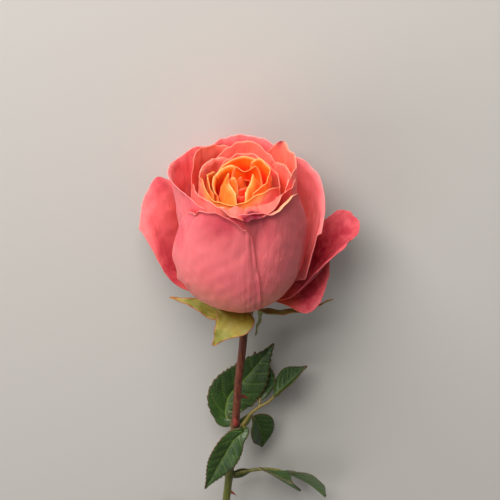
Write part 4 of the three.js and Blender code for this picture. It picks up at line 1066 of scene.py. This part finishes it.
# %% The red bud above the first leaf
BUD_LINE = [(-2.4, -1.2, -69.4), (-2.4, -2.2, -67), (-2.7, -2.4, -63.6)]
BUD_RADII = [0.6, 1.3, 1.25, 0.8, 0.1]
bud_body = tube(BUD_LINE, BUD_RADII, sides=20, rings=24)
bud_body[2]["hook"] = 0.5  # as red as a prickle
bud = add_piece("stem_bud", [bud_body])
hand_over(bud, BARK_FINISH, "stem_bark", "stem")

# %% [markdown]
# ## Leaves
# A rose leaf is compound: leaflets stand in pairs on a stalk, the rachis, with one at its end. Each leaflet
# is oval with forward-pointing teeth, its side veins arch from the midrib towards them, and the blade bulges
# a little between the veins. Two winged stipules hug the stem where the rachis starts. Teeth and veins
# repeat along the blade, so each is drawn from a number that counts them and starts again at every one.

# %% One leaflet
LEAFLET_OUTLINE = [0.12, 0.55, 0.88, 1, 0.97, 0.82, 0.56, 0.26, 0.04]
STALK_SHARE = 0.45  # of the first stretch of a leaflet's spine, before the blade starts
TOOTH_SHARE, TOOTH_RISE = 0.06, 0.78  # its height in half widths of the blade, and its gently sloping part
VEIN_PAIRS, VEIN_WIDTH = 7.5, 0.07  # how many, and how much of the space between two is vein
BULGE_HEIGHT, MIDRIB_DEPTH, MIDRIB_WIDTH, LEAF_WAVE = 0.32, 0.35, 0.35, 0.5  # millimetres
LEAF_THICKNESS, MIDRIB_RIDGE = 0.34, 0.3


def leaflet_blade(spine, face, width, fold, seed):
    """A toothed leaflet with side veins and bulges between them."""
    spine = [toward(spine[0], spine[1], STALK_SHARE), *spine[1:]]
    centre, heading, up, spread, length, u, v = ribbon(spine, face, fold, columns=25, rows=150)
    outline = width * along(LEAFLET_OUTLINE, v)
    teeth = 17 + seed % 3
    phase = (v * teeth + 0.4 * (u > 0)) % 1.0
    tooth = np.where(phase < TOOTH_RISE, phase / TOOTH_RISE, (1 - phase) / (1 - TOOTH_RISE)) - 0.45
    size = TOOTH_SHARE * width * np.clip(np.minimum(v, 1 - v) * 9, 0, 1)
    reach = np.abs(u) * (outline + tooth * size * u**8)
    forward = 0.9 * np.clip(tooth, 0, 1) * size * u**8
    arched = v * length - 0.75 * reach - 0.02 * reach**2
    side_vein = (arched / (length / VEIN_PAIRS) + 0.35 * (u > 0)) % 1.0
    inside = 1 - np.abs(u)
    vein = np.exp(-((np.minimum(side_vein, 1 - side_vein) / VEIN_WIDTH) ** 2)) * smooth(inside * 6)
    bulge = np.sin(np.pi * side_vein) ** 0.7 * smooth(np.abs(u) * 4) * smooth(inside * 5)
    midrib = np.exp(-((reach / MIDRIB_WIDTH) ** 2))
    wave = LEAF_WAVE * ripple(v * length, u * width, 14.0, seed) * u**2
    lift = BULGE_HEIGHT * bulge - MIDRIB_DEPTH * midrib + wave * smooth(v * 5)
    grid = centre + spread * reach[..., None] + up * lift[..., None] + heading * forward[..., None]
    marks = {
        "edge": np.minimum(inside * outline, (1 - v) * length),
        "vein": np.maximum(vein * 0.7, midrib * smooth((1 - v) * 8)),
    }
    return skins(grid, LEAF_THICKNESS + MIDRIB_RIDGE * midrib, marks)


# %% Three leaves: the rachis, and each leaflet's spine, face, half width and fold
LEAVES = {
    "leaf_1": ([(0.3, 1.1, -70.8), (4, 3.4, -66.6), (8, 5, -63.8), (12, 6, -62)], [
        ([(11.6, 5.9, -62.2), (18, 7.4, -55.6), (23.4, 8, -49.6), (28.4, 8, -43.4)],
         (-0.5, -0.1, 0.8), 7, 26),
        ([(0.6, 1.8, -70.2), (-6.6, 5.8, -70.6), (-5.6, 9.2, -62), (3, 11, -51), (14, 12.5, -34.6)],
         (0, -1, 0.25), 10.4, 12),
        ([(3.8, 3.2, -66.8), (6.2, 5.4, -71.6), (8.6, 6.8, -79.6), (9, 8, -89.6)], (0.5, -0.7, 0.3), 7, 20),
        ([(0.5, 1.2, -70.4), (1.2, -3.5, -70.4), (-2.8, -5.4, -73.4), (-8.6, -6.4, -84.6), (-16.2, -6, -102)],
         (0.2, -0.8, 0.6), 6.4, 18),
        ([(7.8, 5, -63.8), (8.4, 9.8, -59.6), (7.4, 14, -51), (6, 15.8, -42)], (0, -1, 0.2), 7, 8),
    ]),
    "leaf_2": ([(-2.8, 0.7, -99.4), (3.6, 1.8, -98.4), (10, 2.6, -98.2), (16.4, 3.2, -99.4)], [
        ([(16, 3.1, -99.3), (23.4, 4, -103), (31, 4.8, -109), (38, 5.6, -117.4)], (0.1, 0.6, 0.8), 8.6, 16),
        ([(9.6, 2.5, -98.3), (12, -2.4, -95.6), (16.6, -9, -92.6), (22.6, -15, -91)],
         (0.2, 0.55, 0.8), 7.4, 16),
        ([(9.6, 2.6, -98.4), (12.6, 4.4, -102), (18.6, 6, -108), (26.6, 6.8, -115)], (0.1, 0.5, 0.85), 6, 12),
    ]),
    "leaf_3": ([(-13.5, 0.3, -160), (-20, 1.6, -155.6), (-28, 2.4, -152), (-36, 3, -149)], [
        ([(-35.6, 3, -149.2), (-44, 3.6, -144.6), (-54, 4.6, -140), (-64, 6, -136)], (0.1, -1, 0.1), 11, 14),
        ([(-19.6, 1.5, -155.8), (-20.6, 2.2, -149), (-23, 3.4, -139), (-24, 5, -128)], (0, -1, 0.1), 8, 14),
        ([(-20, 1.6, -155.6), (-27, 2, -160), (-35, 2.2, -164), (-45, 2.8, -167)], (0, -1, 0.1), 8, 14),
        ([(-28.2, 2.4, -151.8), (-31, 3, -144.6), (-36, 4.2, -134.6), (-40, 5.6, -123.6)],
         (0, -1, 0.1), 9, 14),
        ([(-28.4, 2.4, -151.8), (-37, 2.8, -154.6), (-47, 3.4, -156), (-58, 4.4, -156)], (0, -1, 0.1), 9, 14),
    ]),
}
STIPULE_WIDTH, STIPULE_THICKNESS = 1.9, 0.4
STIPULE_OUTLINE = [0.7, 1, 1, 0.6, 0.1]
RACHIS_RADII = [1.5, 1.1, 0.85, 0.75, 0.7, 0.6]
STALKLET_RADII = [0.6, 0.55, 0.4]
FOOT_DROP = 1.5  # millimetres that the rachis starts below its leaf, inside the stem

# %% Blades and stalks of each leaf
for leaf_name, (rachis, leaflets) in LEAVES.items():
    blades = [leaflet_blade(*leaflet, seed) for seed, leaflet in enumerate(leaflets)]
    foot = line[np.argmin(np.abs(line[:, 2] - rachis[0][2] + FOOT_DROP))]
    first, second, third, _ = rachis
    wing_line = [toward(first, foot, 0.4), toward(first, second, 0.5), toward(second, third, 0.2)]
    centre, _, _, spread, _, u, v = ribbon(wing_line, (0, -1, 0.3), fold=10, columns=15, rows=40)
    reach = np.abs(u) * STIPULE_WIDTH * along(STIPULE_OUTLINE, v)
    edge = (1 - np.abs(u)) * STIPULE_WIDTH
    blades.append(skins(centre + spread * reach[..., None], STIPULE_THICKNESS, {"edge": edge}))
    stalks = [tube([foot, *rachis], RACHIS_RADII, sides=14, rings=72)]
    for spine, *_ in leaflets:
        halfway = toward(spine[0], spine[1], 0.5)
        stalks.append(tube([spine[0], halfway, spine[1]], STALKLET_RADII, sides=10, rings=20))
    hand_over(add_piece(leaf_name + "_leaflets", blades), LEAF_FINISH, "leaf_green", leaf_name)
    hand_over(add_piece(leaf_name + "_stalks", stalks), STALK_FINISH, "leaf_green", leaf_name)

# %% [markdown]
# ## Floor, light and camera
# The stem lies on a plain pale table. A large soft light stands over the bloom's face, a little to the
# viewer's side and left, and a weaker one at the left front lights the body from below its rim. The camera
# looks at the bloom from 36 degrees above the flower's own horizon, as in the photograph. It is placed for
# the upright flower and laid down with it, which puts it high over the stem.

# %% The table
TABLE_HALF = 3.0  # metres
corners = [(-TABLE_HALF, -TABLE_HALF, 0), (TABLE_HALF, -TABLE_HALF, 0), (TABLE_HALF, TABLE_HALF, 0),
           (-TABLE_HALF, TABLE_HALF, 0)]
table = linked("table", bpy.data.meshes.new("table"))
table.data.from_pydata(corners, [], [(0, 1, 2, 3)])
table.data.materials.append(new_finish("table_top", 0.7, Base_Color=colour(190, 188, 184))[0])

# %% The camera, 36 degrees above the flower's own horizon
PICTURE = 500  # pixels across
PIXEL = 0.42  # millimetres, in the plane of the receptacle
RECEPTACLE_AT = (241, 298)  # its pixel in the photograph
SENSOR = 36.0  # millimetres across
CAMERA_HEIGHT = math.radians(36)
CAMERA_DISTANCE = 900.0
up_in_picture = np.array([0.0, math.sin(CAMERA_HEIGHT), math.cos(CAMERA_HEIGHT)])
to_camera = np.array([0.0, -math.cos(CAMERA_HEIGHT), math.sin(CAMERA_HEIGHT)])
right_by, up_by = (PICTURE / 2 - RECEPTACLE_AT[0]) * PIXEL, (RECEPTACLE_AT[1] - PICTURE / 2) * PIXEL
aim = np.array([right_by, 0, 0]) + up_in_picture * up_by
camera = linked("camera", bpy.data.cameras.new("camera"))
camera.data.lens = SENSOR * CAMERA_DISTANCE / (PICTURE * PIXEL)
camera.data.clip_end = 10.0
camera.location = Vector(laid(aim + to_camera * CAMERA_DISTANCE))
rotation = np.stack([turned([1.0, 0, 0]), turned(up_in_picture), turned(to_camera)], 1)
camera.rotation_mode = "QUATERNION"
camera.rotation_quaternion = Matrix(rotation.tolist()).to_quaternion()
bpy.context.scene.camera = camera
print("camera at", tuple(round(c, 3) for c in camera.location))

# %% Two soft lights and a pale surround
BLOOM_MIDDLE = (0, 0, 35)
LIGHT_SIZE = 0.9  # metres across


def soft_light(name, direction, distance, power, tint):
    """A square soft light that looks at the bloom from that upright direction."""
    lamp = linked(name, bpy.data.lights.new(name, "AREA"))
    lamp.data.size, lamp.data.energy, lamp.data.color = LIGHT_SIZE, power, tint
    away = Vector(turned(direction)).normalized()
    lamp.location = Vector(laid(BLOOM_MIDDLE)) + away * distance
    lamp.rotation_mode = "QUATERNION"
    lamp.rotation_quaternion = away.to_track_quat("Z", "Y")


soft_light("window", (-0.27, -0.36, 0.89), 1.1, 26.0, (1.0, 0.96, 0.92))
soft_light("fill", (-0.75, -0.62, -0.2), 1.4, 5.0, (1.0, 0.97, 0.94))
world = bpy.data.worlds.new("surround")
world.use_nodes = True
world.node_tree.nodes["Background"].inputs["Color"].default_value = (1.0, 0.98, 0.96, 1.0)
world.node_tree.nodes["Background"].inputs["Strength"].default_value = 0.15
bpy.context.scene.world = world
bpy.context.scene.view_settings.view_transform = "Standard"
